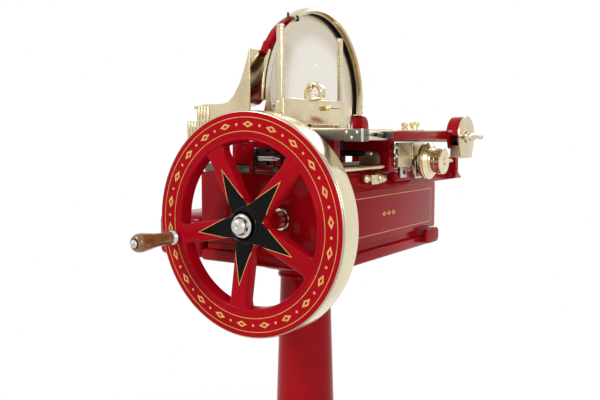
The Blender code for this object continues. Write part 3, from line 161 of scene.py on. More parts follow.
class Tree:
    """A node tree that is being written."""

    def __init__(self, tree):
        self.tree = tree

    def node(self, kind, settings, inputs):
        made = self.tree.nodes.new("ShaderNode" + kind)
        for name, value in settings.items():
            setattr(made, name, value)
        for name, value in inputs.items():
            self.feed(made.inputs[name], value)
        return made

    def feed(self, socket, value):
        if isinstance(value, Number):
            value = value.socket
        if isinstance(value, bpy.types.NodeSocket):
            self.tree.links.new(value, socket)
        else:
            socket.default_value = value

    def paint(self, socket, value):
        """Feed a socket of the tree's main shader."""
        self.feed(self.shader.inputs[socket], value)

    def number(self, kind, settings, inputs, output=0):
        return Number(self, self.node(kind, settings, inputs).outputs[output])

    def mix(self, share, first, second):
        """A colour between two colours."""
        inputs = {0: share, 6: first, 7: second}
        return self.node("Mix", {"data_type": "RGBA"}, inputs).outputs[2]

    def place(self, centre=(0, 0, 0), scale=(1, 1, 1)):
        """Object coordinates measured from a centre, stretched by a scale."""
        source = self.node("TexCoord", {}, {}).outputs["Object"]
        shift = [-value * size for value, size in zip(centre, scale)]
        inputs = {"Vector": source, "Location": shift, "Scale": scale}
        return self.node("Mapping", {}, inputs).outputs[0]

    def parts(self, vector):
        split = self.node("SeparateXYZ", {}, {0: vector})
        return [Number(self, output) for output in split.outputs]

    def noise(self, vector, scale, detail=2.0, rough=0.5):
        inputs = {"Vector": vector, "Scale": scale, "Detail": detail, "Roughness": rough}
        return self.number("TexNoise", {}, inputs)

    def bump(self, height, distance, strength=1.0):
        inputs = {"Height": height, "Distance": distance, "Strength": strength}
        return self.node("Bump", {}, inputs).outputs[0]


def finish(name, **constants):
    """A new material; the constants are set on its shader's own sockets."""
    material = bpy.data.materials.new(name)
    material.use_nodes = True
    tree = Tree(material.node_tree)
    tree.material = material
    tree.shader = material.node_tree.nodes["Principled BSDF"]
    for socket, value in constants.items():
        tree.shader.inputs[socket.replace("_", " ")].default_value = value
    return tree


def rgb(red, green, blue):
    return (red, green, blue, 1.0)


# %% [markdown]
# ## Enamel
# Stoved enamel lies on the castings in a thick glossy coat. It is one deep crimson, a touch darker where the
# coat is thick, with a faint orange-peel surface and soft polishing haze. Small chips and rubbed specks sit
# sparsely on it. The gloss is a clear coat over a duller colour, as on the real paint.


# %% Enamel finishes
def enamel(name, colour, depth, fleck):
    tree = finish(name, IOR=1.13, Coat_Weight=0.22, Coat_Roughness=0.03, Coat_IOR=1.3)
    place = tree.place()
    cloud = tree.noise(place, 9.0, 3.0).step(0.35, 0.7)
    peel = tree.noise(place, 420.0, 1.0)
    haze = tree.noise(place, 38.0, 4.0, 0.65).step(0.4, 0.75)
    chip = tree.noise(place, 230.0, 2.0).step(0.76, 0.79) * tree.noise(place, 21.0).step(0.55, 0.62)
    deep = [value * depth for value in colour]
    body_colour = tree.mix(cloud, rgb(*deep), rgb(*colour))
    tree.colour = tree.mix(chip, body_colour, rgb(*fleck))
    tree.gloss = 0.16 + haze * 0.1 + chip * 0.4
    tree.paint("Base Color", tree.colour)
    tree.paint("Roughness", tree.gloss)
    tree.paint("Normal", tree.bump(peel - chip * 2, 0.00005, 0.35))
    return tree


crimson = (0.335, 0.0025, 0.007)
primer = (0.1, 0.02, 0.015)
red_enamel = enamel("red_enamel", crimson, 0.72, primer)
black_enamel = enamel("black_enamel", (0.008, 0.008, 0.008), 0.6, (0.06, 0.05, 0.04))
# Painted shade: a near-black matt finish with a faint mottle, used only for the sheet that stands for the
# shade inside the guard.
painted_shade_black = finish("painted_shade_black", IOR=1.1, Roughness=0.85)
shade_mottle = painted_shade_black.noise(painted_shade_black.place(), 120.0, 3.0)
painted_shade_black.paint("Base Color", painted_shade_black.mix(shade_mottle, rgb(0.003, 0.003, 0.003), rgb(0.014, 0.011, 0.008)))
print("enamels:", red_enamel.material.name, black_enamel.material.name)

# %% [markdown]
# ## The painted wheel
# A five-pointed black star with a fine gold line is painted over the hub and the spokes. The pattern is
# drawn with sums on the distance and the angle from the wheel's centre. One arm of the star is folded onto
# itself five times, so one straight line makes all ten edges. The flat ring carries a plain row of gilt
# lozenges and dots between two fine lines. The outermost edge is bare metal, where the nickel rim shows.

# %% Star, lines and lozenges
SPOKES = 5
first_spoke = math.radians(46.4)
star_tip = 0.101
star_valley = 0.0345
gold_line = 0.0011
band_radius = 0.1675
lozenges = 22
gilt_colour = rgb(0.72, 0.43, 0.13)

wheel_paint = enamel("wheel_paint", (0.4, 0.0025, 0.009), 0.78, primer)
wheel_paint.shader.inputs["Coat Weight"].default_value = 0.12
wheel_paint.shader.inputs["IOR"].default_value = 1.09
across, along, up = wheel_paint.parts(wheel_paint.place(wheel_centre))
radius = wheel_paint.number("Math", {"operation": "SQRT"}, {0: across * across + up * up})
turn = up.maths("ARCTAN2", up, across) - first_spoke
arm = turn * (SPOKES / (2 * math.pi)) + 0.5
folded = (arm.maths("FRACT", arm) - 0.5) * (2 * math.pi / SPOKES)
side = folded.maths("ABSOLUTE", folded)
out = radius * side.maths("COSINE", side)
off = radius * side.maths("SINE", side)
valley_out = star_valley * math.cos(math.pi / SPOKES)
valley_off = star_valley * math.sin(math.pi / SPOKES)
edge_run = star_tip - valley_out
edge_length = math.hypot(edge_run, valley_off)
inside = (star_tip - out) * (valley_off / edge_length) - off * (edge_run / edge_length)
front_side = along < 0.004
star = inside.step(-0.0001, 0.0001) * front_side
star_line = inside.step(-gold_line, -gold_line + 0.0002) * (1 - star) * front_side

repeat = turn * (lozenges / (2 * math.pi))
cell = (repeat.maths("FRACT", repeat) - 0.5) * (2 * math.pi * band_radius / lozenges)
reach = radius - band_radius
slant = cell.maths("ABSOLUTE", cell) * 0.48 + reach.maths("ABSOLUTE", reach)
lozenge = 1 - slant.step(0.0052, 0.0055)
heart = 1 - slant.step(0.0022, 0.0025)
half_turn = repeat + 0.5
dot_cell = (half_turn.maths("FRACT", half_turn) - 0.5) * (2 * math.pi * band_radius / lozenges)
dot_reach = dot_cell * dot_cell + reach * reach
dot = 1 - dot_reach.maths("SQRT", dot_reach).step(0.0021, 0.0024)
band_line = reach.maths("ABSOLUTE", reach) - 0.0115
rings = 1 - band_line.maths("ABSOLUTE", band_line).step(0.0004, 0.0006)
ornament = (lozenge - heart + dot + rings).step(0.0, 1.0) * front_side
gilt = (star_line + ornament).step(0.0, 1.0)
painted = wheel_paint.mix(star, wheel_paint.colour, rgb(0.006, 0.006, 0.006))
worn = wheel_paint.noise(wheel_paint.place(), 160.0, 3.0).step(0.2, 0.6)
gold = wheel_paint.mix(worn, rgb(0.5, 0.27, 0.06), gilt_colour)
bare_edge = radius.step(wheel_radius - 0.0025, wheel_radius - 0.0021) * (along < 0.0065)
coloured = wheel_paint.mix(bare_edge, wheel_paint.mix(gilt, painted, gold), rgb(0.46, 0.4, 0.3))
wheel_paint.paint("Base Color", coloured)
wheel_paint.paint("Metallic", bare_edge)
wheel_paint.paint("Roughness", wheel_paint.gloss + gilt * 0.15 + bare_edge * 0.1)
print("wheel painted with", SPOKES, "arms and", lozenges, "lozenges")

# %% [markdown]
# ## Bare and plated metals
# Polished nickel is a warm, slightly yellow mirror; the nickel colours here are warmed further to stand in
# for a cream room reflected in them, a painted reflection. Old plate is cloudy, with finer polishing lines
# that only show in the gloss. Ground steel is duller and carries straight grinding lines. The knife's run
# round its centre, and its outer part is worn to a duller, warmer tone. All of them are one recipe with a
# colour, a stain and a direction for the lines.


# %% Metal finishes
def metal(name, colour, stain, gloss, lines, line_depth=0.00002, centre=None, rings=260.0, wear=1.0):
    tree = finish(name, Metallic=1.0)
    place = tree.place()
    cloud = tree.noise(place, 14.0, 4.0, 0.6).step(0.38, 0.72) * wear
    spot = tree.noise(place, 95.0, 3.0, 0.7).step(0.66, 0.74) * wear
    if centre is None:
        grain = tree.noise(tree.place(scale=lines), 1.0, 3.0, 0.6)
    else:
        x, y, z = tree.parts(tree.place(centre))
        square = {"X": y * y + z * z, "Y": x * x + z * z, "Z": x * x + y * y}[lines]
        tree.radius = square.maths("SQRT", square)
        inputs = {"W": tree.radius, "Scale": rings, "Detail": 5.0, "Roughness": 0.7}
        grain = tree.number("TexNoise", {"noise_dimensions": "1D"}, inputs)
    dull = [a * 0.55 + b * 0.45 for a, b in zip(colour, stain)]
    clouded = tree.mix(cloud, rgb(*colour), rgb(*dull))
    tree.colour = tree.mix(spot * 0.5, clouded, rgb(*stain))
    tree.grained = tree.mix(grain.step(0.3, 0.7) * 0.3, tree.colour, rgb(*stain))
    tree.paint("Base Color", tree.grained)
    tree.paint("Roughness", gloss + cloud * 0.08 + grain * 0.08 + spot * 0.15)
    tree.paint("Normal", tree.bump(grain, line_depth, 0.5))
    return tree


# Painted reflection: nickel is warm by itself, and both nickel colours are warmed further to stand in for a
# cream room.
nickel = metal("nickel", (0.73, 0.63, 0.43), (0.42, 0.33, 0.18), 0.1, (60, 60, 900))
rim_nickel = metal("rim_nickel", (0.8, 0.72, 0.53), (0.62, 0.51, 0.32), 0.16, "Y", 0.000006,
                   centre=wheel_centre, wear=0.6)
knife_steel = metal("knife_steel", (0.86, 0.82, 0.75), (0.66, 0.6, 0.5), 0.22, "X", centre=knife_centre,
                    rings=48.0, wear=0.2)
ground_steel = metal("ground_steel", (0.15, 0.135, 0.11), (0.065, 0.055, 0.04), 0.3, (500, 30, 500))
worn = knife_steel.radius.step(knife_radius * 0.62, knife_radius * 0.8)
worn_colour = knife_steel.mix(worn * 0.75, knife_steel.grained, rgb(0.6, 0.52, 0.4))
knife_steel.paint("Base Color", worn_colour)
cream_steel = metal("cream_steel", (0.72, 0.64, 0.47), (0.42, 0.34, 0.21), 0.24, (400, 30, 400))
bright_steel = metal("bright_steel", (0.66, 0.64, 0.6), (0.3, 0.27, 0.23), 0.14, (60, 700, 700))
brass = metal("brass", (0.78, 0.6, 0.32), (0.4, 0.27, 0.11), 0.16, (300, 300, 60))
gun_metal = metal("gun_metal", (0.045, 0.04, 0.036), (0.02, 0.017, 0.014), 0.38, (200, 200, 200))
print("metals:", [tree.material.name for tree in (nickel, knife_steel, ground_steel, brass)])

# %% [markdown]
# ## Oiled iron and varnished wood
# The gears and chains inside are plain iron, black with oil. The handle is turned hardwood under varnish:
# long grain runs along the handle, so the noise is stretched along the axis that it was turned on.

# %% Iron and wood
iron = finish("oiled_iron", Metallic=0.7, IOR=1.5)
grit = iron.noise(iron.place(), 190.0, 5.0, 0.7)
oil = iron.noise(iron.place(), 24.0, 3.0).step(0.4, 0.65)
iron.paint("Base Color", iron.mix(oil, rgb(0.1, 0.085, 0.07), rgb(0.025, 0.022, 0.02)))
iron.paint("Roughness", 0.62 - oil * 0.3)
iron.paint("Normal", iron.bump(grit, 0.0002, 0.4))

wood = finish("varnished_wood", Coat_Weight=0.8, Coat_Roughness=0.08)
grain_place = wood.place(middle("wooden_grip"), (260, 14, 260))
grain = wood.noise(grain_place, 1.0, 5.0, 0.65)
pores = wood.noise(wood.place(scale=(900, 70, 900)), 1.0, 2.0).step(0.6, 0.68)
tone = wood.mix(grain.step(0.3, 0.7), rgb(0.1, 0.03, 0.008), rgb(0.3, 0.115, 0.03))
rubbed = wood.noise(wood.place(), 30.0, 2.0).step(0.5, 0.7)
tone = wood.mix(rubbed * 0.4, tone, rgb(0.36, 0.17, 0.06))
wood.paint("Base Color", wood.mix(pores * 0.6, tone, rgb(0.04, 0.012, 0.004)))
wood.paint("Roughness", 0.3 + grain * 0.12)
wood.paint("Normal", wood.bump(grain - pores * 0.5, 0.0002, 0.3))
slot_finish = {
    "red_enamel": red_enamel, "nickel": nickel, "steel": ground_steel, "brass": brass,
    "cast_iron": iron, "wood": wood, "cream_steel": cream_steel,
}
print("finishes for the slots:", list(slot_finish))

# %% [markdown]
# ## Studio
# The machine stands on a pale floor in soft light. Near the pedestal the floor is a real surface that keeps
# the shadow. Further out it fades into the same white as the surroundings, so no horizon shows. What the
# camera sees as white, polished metal has to see too, so the light paths for gloss are counted in.


# %% Floor, world and lamps
def seen_share(tree):
    """1 for rays that show the background, straight or in a reflection, and 0 for the rest."""
    paths = tree.node("LightPath", {}, {})
    names = ("Is Camera Ray", "Is Glossy Ray", "Is Transmission Ray")
    camera_ray, glossy, through = (Number(tree, paths.outputs[name]) for name in names)
    return camera_ray.maths("MAXIMUM", camera_ray.maths("MAXIMUM", camera_ray, glossy), through)


room_level = 0.62
world = bpy.data.worlds.new("pale_room")
world.use_nodes = True
bpy.context.scene.world = world
room = Tree(world.node_tree)
background = world.node_tree.nodes["Background"]
background.inputs["Color"].default_value = rgb(1.0, 1.0, 1.0)
room.feed(background.inputs["Strength"], room_level + seen_share(room) * (1 - room_level))

bpy.ops.mesh.primitive_circle_add(vertices=96, radius=9.0, fill_type="NGON", location=(0, 0, 0))
floor = bpy.context.object
floor.name = "studio_floor"
ground = finish("studio_ground", Roughness=0.9)
mottle = ground.noise(ground.place(), 3.0, 3.0)
tint = ground.mix(mottle, rgb(0.9, 0.9, 0.9), rgb(0.94, 0.94, 0.94))
ground.paint("Base Color", tint)
far_x, far_y, far_z = ground.parts(ground.place())
distance = far_x.maths("SQRT", far_x * far_x + far_y * far_y)
glow = ground.node("Emission", {}, {"Color": rgb(1.0, 1.0, 1.0)})
ground.feed(glow.inputs["Strength"], room_level + seen_share(ground) * (1 - room_level))
blend = ground.node("MixShader", {}, {0: distance.step(0.55, 1.5), 1: ground.shader.outputs[0]})
ground.feed(blend.inputs[2], glow.outputs[0])
output = ground.tree.nodes["Material Output"]
ground.feed(output.inputs["Surface"], blend.outputs[0])
floor.data.materials.append(ground.material)

lamps = (
    ("key_lamp", (-1.5, -2.6, 2.9), 0.7, 62),
    ("fill_lamp", (2.6, -1.4, 1.9), 0.9, 30),
    ("back_lamp", (0.4, 2.4, 2.8), 1.2, 34),
)
for name, place, size, power in lamps:
    bpy.ops.object.light_add(type="AREA", location=place)
    lamp = bpy.context.object
    lamp.name = name
    lamp.data.size = size
    lamp.data.energy = power
    aim = Vector((0.0, 0.0, 0.95)) - Vector(place)
    lamp.rotation_euler = aim.to_track_quat("-Z", "Y").to_euler()
print("studio: floor, pale room and", len(lamps), "lamps")

# %% [markdown]
# ## Four ways to make a casting
# Most pieces of this machine were sawn from plate, turned on a lathe, or cast and then rounded at the edges.
# The helpers do the same with Blender's own operators: draw an outline point by point and extrude it, draw
# half a section and spin it, or take a box and bevel it. A CAD node whose outline is already right is
# copied, its loose triangles are merged, and the copy gets the rounded edges of a casting.


# %% Helpers: start, dress and combine
def edit(mode):
    bpy.ops.object.mode_set(mode="EDIT" if mode else "OBJECT")


def only(piece):
    """Select one piece and make it active."""
    bpy.ops.object.select_all(action="DESELECT")
    piece.select_set(True)
    bpy.context.view_layer.objects.active = piece


def settle(piece):
    """Put the piece's place into its mesh."""
    only(piece)
    bpy.ops.object.transform_apply(location=True, rotation=True, scale=True)


def modify(piece, kind, **settings):
    only(piece)
    made = piece.modifiers.new(kind.lower(), kind)
    for name, value in settings.items():
        setattr(made, name, value)
    bpy.ops.object.modifier_apply(modifier=made.name)


def soften(piece, width, segments=3):
    modify(piece, "BEVEL", width=width, segments=segments, limit_method="ANGLE",
           angle_limit=math.radians(30), harden_normals=False)


def cut(piece, cutter):
    modify(piece, "BOOLEAN", operation="DIFFERENCE", solver="EXACT", object=cutter)
    bpy.data.objects.remove(cutter)


def add(piece, *others):
    """Join loose parts into one piece without fusing their surfaces."""
    bpy.ops.object.select_all(action="DESELECT")
    for other in others:
        other.select_set(True)
    piece.select_set(True)
    bpy.context.view_layer.objects.active = piece
    bpy.ops.object.join()
    return piece


def another(piece, move):
    """A copy with its own mesh, moved."""
    made = piece.copy()
    made.data = piece.data.copy()
    bpy.context.collection.objects.link(made)
    made.location = piece.location + Vector(move)
    settle(made)
    return made


pieces = []


def dress(piece, name, body, tree, slot, *nodes, smooth=35):
    """Name the piece, give it its finish, and hang it on its body in place of the nodes."""
    settle(piece)
    piece.name = name
    piece.data.name = name
    piece.data.materials.clear()
    piece.data.materials.append(tree.material)
    bpy.ops.object.shade_smooth_by_angle(angle=math.radians(smooth))
    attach(piece, body)
    if nodes:
        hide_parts(*nodes)
    pieces.append(piece)
    return piece


print("helpers ready")


# %% Helpers: plate, lathe and box
def at(axis, across, above, along):
    """A point from its two coordinates square to an axis and its place along it."""
    order = {"X": (along, across, above), "Y": (across, along, above), "Z": (across, above, along)}
    return Vector(order[axis])


def draw(points):
    """An open chain of edges through the points, drawn by extruding one vertex."""
    bpy.ops.object.select_all(action="DESELECT")
    bpy.ops.mesh.primitive_plane_add(size=0.01, location=(0, 0, 0))
    edit(True)
    bpy.ops.mesh.select_all(action="SELECT")
    bpy.ops.mesh.merge(type="CENTER")
    bpy.ops.transform.translate(value=points[0])
    for before, after in zip(points, points[1:]):
        bpy.ops.mesh.extrude_region_move(TRANSFORM_OT_translate={"value": after - before})
    bpy.ops.mesh.select_all(action="SELECT")
    return bpy.context.object


def plate(outline, axis, start, end, edge=0.0, segments=3):
    """An outline sawn from plate between two planes square to an axis."""
    piece = draw([at(axis, across, above, start) for across, above in outline])
    bpy.ops.mesh.edge_face_add()
    thickness = at(axis, 0, 0, end - start)
    bpy.ops.mesh.extrude_region_move(TRANSFORM_OT_translate={"value": thickness})
    bpy.ops.mesh.select_all(action="SELECT")
    bpy.ops.mesh.normals_make_consistent(inside=False)
    edit(False)
    if edge:
        soften(piece, edge, segments)
    return piece


def lathe(profile, axis, centre, steps=64, first=0.0, sweep=360.0):
    """A section of (radius, place along the axis) spun round the axis, all the way or part of it."""
    across, above = centre
    spin_axis = at(axis, 0, 0, 1)
    lean = math.radians(first)
    handed = 1 if axis == "Y" else -1
    points = []
    for radius, along in profile:
        points.append(at(axis, across + radius * math.cos(lean), above + radius * math.sin(lean), along))
    piece = draw(points)
    bpy.ops.mesh.spin(steps=steps, angle=math.radians(sweep) * handed, center=at(axis, across, above, 0),
                      axis=spin_axis)
    bpy.ops.mesh.select_all(action="SELECT")
    bpy.ops.mesh.remove_doubles(threshold=0.00001)
    if sweep < 360:
        bpy.ops.mesh.fill_holes(sides=0)
    bpy.ops.mesh.select_all(action="SELECT")
    bpy.ops.mesh.normals_make_consistent(inside=False)
    edit(False)
    return piece


def box(x, y, z, edge=0.0, segments=3):
    """A block between three pairs of planes, with rounded edges."""
    low, high = Vector((x[0], y[0], z[0])), Vector((x[1], y[1], z[1]))
    bpy.ops.object.select_all(action="DESELECT")
    bpy.ops.mesh.primitive_cube_add(size=1, location=(low + high) / 2, scale=high - low)
    piece = bpy.context.object
    settle(piece)
    if edge:
        soften(piece, edge, segments)
    return piece


def casting(node, edge, segments=3):
    """A copy of a CAD node with merged triangles and rounded edges."""
    piece = frame["nodes"][node].copy()
    piece.data = piece.data.copy()
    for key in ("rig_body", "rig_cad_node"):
        del piece[key]
    piece.parent = None
    bpy.context.collection.objects.link(piece)
    only(piece)
    edit(True)
    bpy.ops.mesh.select_all(action="SELECT")
    bpy.ops.mesh.remove_doubles(threshold=0.00001)
    bpy.ops.mesh.dissolve_limited(angle_limit=math.radians(1))
    edit(False)
    soften(piece, edge, segments)
    return piece


def arc(centre, radius, start, end, count):
    """Points of an arc between two angles in degrees."""
    angles = [math.radians(start + (end - start) * i / count) for i in range(count + 1)]
    return [(centre[0] + radius * math.cos(a), centre[1] + radius * math.sin(a)) for a in angles]


def round_box(low, high, radius, count=5):
    """Outline of a rectangle with round corners."""
    corners = ((high[0], high[1], 0), (low[0], high[1], 90), (low[0], low[1], 180), (high[0], low[1], 270))
    outline = []
    for across, above, start in corners:
        inward = radius if start in (90, 180) else -radius
        rise = radius if start > 90 else -radius
        outline += arc((across + inward, above + rise), radius, start, start + 90, count)
    return outline


print("plate, lathe, box and casting are ready")

# %% [markdown]
# ## The flywheel
# The wheel is one iron casting: a flat ring with a raised bead at its inner edge, and five spokes with
# rounded edges that meet in soft valleys round the hub. The ring is a section spun round the shaft. The
# spokes are one outline, extruded and bevelled, whose ends are sunk in the ring.

# %% Ring and spokes
wx, wz = wheel_centre.x, wheel_centre.z
face = wheel_centre.y
casting_back = ends("flywheel", Y)[1]
ring_inner = 0.1405
ring_outer = wheel_radius - 0.0093
front_edge = 0.0062
section = [
    (ring_inner, casting_back - 0.002), (ring_inner, face + 0.003), (ring_inner + 0.0006, face + 0.0006),
    (ring_inner + 0.002, face - 0.0006), (ring_inner + 0.0036, face - 0.0009),
    (ring_inner + 0.0052, face - 0.0004), (ring_inner + 0.0062, face + 0.0008),
    (ring_inner + 0.008, face + 0.0004), (ring_inner + 0.0095, face), (wheel_radius - 0.003, face),
    (wheel_radius - 0.0012, face + 0.0005), (wheel_radius - 0.0002, face + 0.0018),
    (wheel_radius, face + 0.0034), (wheel_radius - 0.0006, face + front_edge - 0.001),
    (wheel_radius - 0.0016, face + front_edge), (ring_outer, face + front_edge), (ring_outer, casting_back),
    (ring_inner + 0.002, casting_back), (ring_inner, casting_back - 0.002),
]
ring = lathe(section, "Y", (wx, wz), steps=128)

spoke_half = 0.017
flare_half = 0.0225
valley_round = 0.0105
half_gap = math.pi / SPOKES
outline = []
for index in range(SPOKES):
    heading = first_spoke + index * 2 * half_gap
    forward = Vector((math.cos(heading), math.sin(heading)))
    leftward = Vector((-forward.y, forward.x))
    run = ((ring_inner - 0.012, -spoke_half), (ring_inner - 0.0045, -spoke_half - 0.0022),
           (ring_inner, -flare_half), (ring_inner + 0.014, -flare_half))
    for far, off_line in run + tuple((far, -off_line) for far, off_line in run[::-1]):
        knee = forward * far + leftward * off_line
        outline.append((wx + knee.x, wz + knee.y))
    between = heading + half_gap
    reach_out = (spoke_half + valley_round) / math.sin(half_gap)
    hollow = (wx + reach_out * math.cos(between), wz + reach_out * math.sin(between))
    opening = 90 - math.degrees(half_gap)
    facing = math.degrees(between) + 180
    outline += arc(hollow, valley_round, facing + opening, facing - opening, 6)
spider = plate(outline, "Y", face + 0.0012, casting_back - 0.003, edge=0.0048, segments=4)
add(ring, spider)
dress(ring, "flywheel_casting", "wheel", wheel_paint, "red_enamel", "flywheel", smooth=40)
print("flywheel:", len(ring.data.polygons), "faces")

# %% [markdown]
# The rim is a separate nickelled band shrunk onto the casting. The black boss, the domed nut and the crank
# pin are turned parts, so each is a lathe section.

# %% Rim band, boss and nut
rim_low, rim_high = ends("flywheel_rim", Y)
rim_in = ring_outer + 0.0004
section = [
    (rim_in, rim_low), (wheel_radius - 0.0014, rim_low), (wheel_radius - 0.0003, rim_low + 0.0009),
    (wheel_radius, rim_low + 0.003), (wheel_radius + 0.0003, (rim_low + rim_high) / 2),
    (wheel_radius, rim_high - 0.003), (wheel_radius - 0.0006, rim_high - 0.0009),
    (wheel_radius - 0.002, rim_high), (rim_in + 0.0012, rim_high), (rim_in, rim_high - 0.0012),
    (rim_in, rim_low),
]
rim = lathe(section, "Y", (wx, wz), steps=160)
dress(rim, "nickel_rim", "wheel", rim_nickel, "nickel", "flywheel_rim")

boss_front = ends("main_shaft", Y)[0]
section = [
    (0.0243, face + 0.004), (0.0243, boss_front + 0.0015), (0.0252, boss_front + 0.0004),
    (0.0268, boss_front + 0.0006), (0.0282, boss_front + 0.002), (0.029, face - 0.0012),
    (0.0312, face + 0.0002), (0.0325, face + 0.0016), (0.0325, face + 0.004), (0.0243, face + 0.004),
]
boss = lathe(section, "Y", (wx, wz))
dress(boss, "hub_boss", "wheel", black_enamel, "cast_iron")

nut_front, nut_back = ends("hub_nut", Y)
nut_radius = ends("hub_nut", X)[1] - wx
nut_depth = nut_back - nut_front
dome_flat, dome_wide = 0.0055, 0.0102
section = [(0.0, nut_front + 0.0022), (0.0022, nut_front + 0.0016), (0.004, nut_front),
           (dome_flat, nut_front)]
for share in (0.15, 0.3, 0.45, 0.6, 0.75, 0.9):
    bend = share * math.pi / 2
    drop = nut_depth * 0.7 * (1 - math.cos(bend))
    section.append((dome_flat + dome_wide * math.sin(bend), nut_front + drop))
section += [
    (0.0162, nut_back - 0.0046), (0.017, nut_back - 0.004), (nut_radius - 0.0012, nut_back - 0.0038),
    (nut_radius, nut_back - 0.0026), (nut_radius, nut_back), (0.0, nut_back),
]
nut = lathe(section, "Y", (wx, wz))
dress(nut, "domed_hub_nut", "wheel", bright_steel, "nickel", "hub_nut")
print("rim, boss and nut turned")

# %% [markdown]
# ## The handle
# The handle is turned from one piece of hardwood: a slim neck at the ferrule, a swelling for the palm and a
# rounded end. A few stations of the section are enough, because a subdivision surface rounds them off. It
# spins freely on the steel pin, whose ferrule and acorn nut hold it.

# %% Handle, ferrule and end nut
pin = middle("wooden_grip")
grip_low, grip_high = ends("wooden_grip", Y)
grip_long = grip_high - grip_low
grip_radius = ends("wooden_grip", X)[1] - pin.x
stations = ((0.64, 0.0), (0.8, 0.03), (0.84, 0.07), (0.7, 0.14), (0.68, 0.3), (0.8, 0.5), (0.95, 0.68),
            (1.03, 0.82), (0.98, 0.93), (0.74, 0.99), (0.56, 1.0))
section = [(0.0056, grip_high)]
section += [(grip_radius * wide, grip_high - grip_long * far) for wide, far in stations]
section += [(0.0056, grip_low), (0.0056, grip_high)]
grip = lathe(section, "Y", (pin.x, pin.z), steps=32)
modify(grip, "SUBSURF", levels=1, render_levels=1)
dress(grip, "turned_handle", "grip", wood, "wood", "wooden_grip")

pin_front, pin_back = ends("crank_spindle", Y)
section = [
    (0.0, pin_front), (0.0026, pin_front + 0.0003), (0.0052, pin_front + 0.0016), (0.007, pin_front + 0.0034),
    (0.0074, pin_front + 0.0052), (0.0074, grip_low - 0.0004), (0.005, grip_low - 0.0004),
    (0.005, grip_high + 0.0004), (0.0108, grip_high + 0.0004), (0.0112, grip_high + 0.002),
    (0.0104, grip_high + 0.0032), (0.0122, grip_high + 0.005), (0.0142, grip_high + 0.0078),
    (0.0145, pin_back - 0.0018), (0.0137, pin_back), (0.0, pin_back),
]
pin_piece = lathe(section, "Y", (pin.x, pin.z), steps=48)
dress(pin_piece, "crank_pin", "wheel", bright_steel, "steel", "crank_spindle")
print("handle length", round(grip_long, 4))

# %% [markdown]
# ## Pedestal
# The pedestal is two hollow castings, of which only the upper part of the column shows in the photograph.
# The column tapers upward, with a collar ring near its foot and a moulded head under the tray.

# %% Column and base
column = middle("pedestal_column")
column_low, column_high = ends("pedestal_column", Z)
head_radius = ends("pedestal_column", X)[1] - column.x
foot_radius, top_radius = 0.0695, 0.0495
bore = 0.036
shaft_low, shaft_high = column_low + 0.018, column_high - 0.04
section = [
    (bore, column_low), (foot_radius, column_low), (foot_radius + 0.006, column_low + 0.004),
    (foot_radius + 0.006, column_low + 0.014), (foot_radius, shaft_low),
]
for index in range(1, 9):
    share = index / 8
    wide = foot_radius + (top_radius - foot_radius) * share
    section.append((wide, shaft_low + (shaft_high - shaft_low) * share))
section += [
    (top_radius + 0.004, column_high - 0.037), (top_radius + 0.005, column_high - 0.033),
    (top_radius + 0.003, column_high - 0.029), (top_radius + 0.01, column_high - 0.022),
    (head_radius - 0.022, column_high - 0.015), (head_radius - 0.003, column_high - 0.012),
    (head_radius, column_high - 0.009), (head_radius, column_high), (bore, column_high), (bore, column_low),
]
stand = lathe(section, "Z", (column.x, column.y), steps=96)
dress(stand, "column_casting", "frame", red_enamel, "red_enamel", "pedestal_column")

base_low, base_high = ends("pedestal_base", Z)
base_radius = ends("pedestal_base", X)[1] - column.x
neck = foot_radius + 0.01
rim_top = base_low + 0.022
section = [
    (base_radius - 0.014, base_low), (base_radius - 0.002, base_low), (base_radius, base_low + 0.002),
    (base_radius, base_low + 0.016), (base_radius - 0.003, base_low + 0.021), (base_radius - 0.01, rim_top),
]
for index in range(1, 15):
    bend = math.pi / 2 * index / 14
    wide = neck + (base_radius - 0.014 - neck) * (1 - math.sin(bend)) ** 1.4
    section.append((wide, rim_top + (base_high - rim_top) * (1 - math.cos(bend))))
section += [(0.0, base_high), (0.0, base_low + 0.002), (base_radius - 0.022, base_low + 0.002), section[0]]
foot = lathe(section, "Z", (column.x, column.y), steps=128)
dress(foot, "base_casting", "frame", red_enamel, "red_enamel", "pedestal_base")
print("pedestal from", round(base_low, 3), "to", round(column_high, 3))

# %% [markdown]
# ## Small fittings by their distance from the wheel
# The centre of the wheel's face is a good origin for everything that follows, because the photograph was
# measured from it. `span` and `spot` turn such distances into places in the room. `stud` is a short turned
# part with a rounded head, and `recast` replaces a CAD node by its softened copy with the same finish.


# %% Helpers: places from the wheel, studs and recast nodes
def spot(axis, value):
    return wheel_centre[axis] + value


def span(axis, low, high):
    return spot(axis, low), spot(axis, high)


def block(x, y, z, edge=0.001, segments=3):
    """A box whose planes are distances from the wheel's centre."""
    return box(span(X, *x), span(Y, *y), span(Z, *z), edge, segments)


def away(node, axis):
    """Both ends of a node along an axis, as distances from the wheel's centre."""
    return [end - wheel_centre[axis] for end in ends(node, axis)]


def numbers(axis):
    """The number of an axis, and of the two square to it."""
    along = "XYZ".index(axis)
    return along, *[i for i in (X, Y, Z) if i != along]


def turned(profile, axis, centre, steps=32):
    """A lathe section whose places are distances from the wheel's centre."""
    along, across, above = numbers(axis)
    moved = [(radius, spot(along, place)) for radius, place in profile]
    return lathe(moved, axis, (spot(across, centre[0]), spot(above, centre[1])), steps)


def bulb(radius, centre, first, last, step):
    """Points of a ball on the axis, between two angles in degrees."""
    angles = [math.radians(angle) for angle in range(first, last, step)]
    return [(radius * math.sin(a), centre - radius * math.cos(a)) for a in angles]


def drill(axis, centre, start, end, radius):
    """A plain rod to cut a round hole with."""
    return turned([(0.0, start), (radius, start), (radius, end), (0.0, end)], axis, centre)


def stud(axis, centre, foot, head, radius, steps=24):
    """A turned stud from its foot to its rounded head."""
    rise = (head - foot) * 0.35
    profile = [(0.0, foot), (radius, foot), (radius, head - rise), (radius * 0.92, head - rise * 0.5),
               (radius * 0.6, head - rise * 0.1), (0.0, head)]
    return turned(profile, axis, centre, steps)


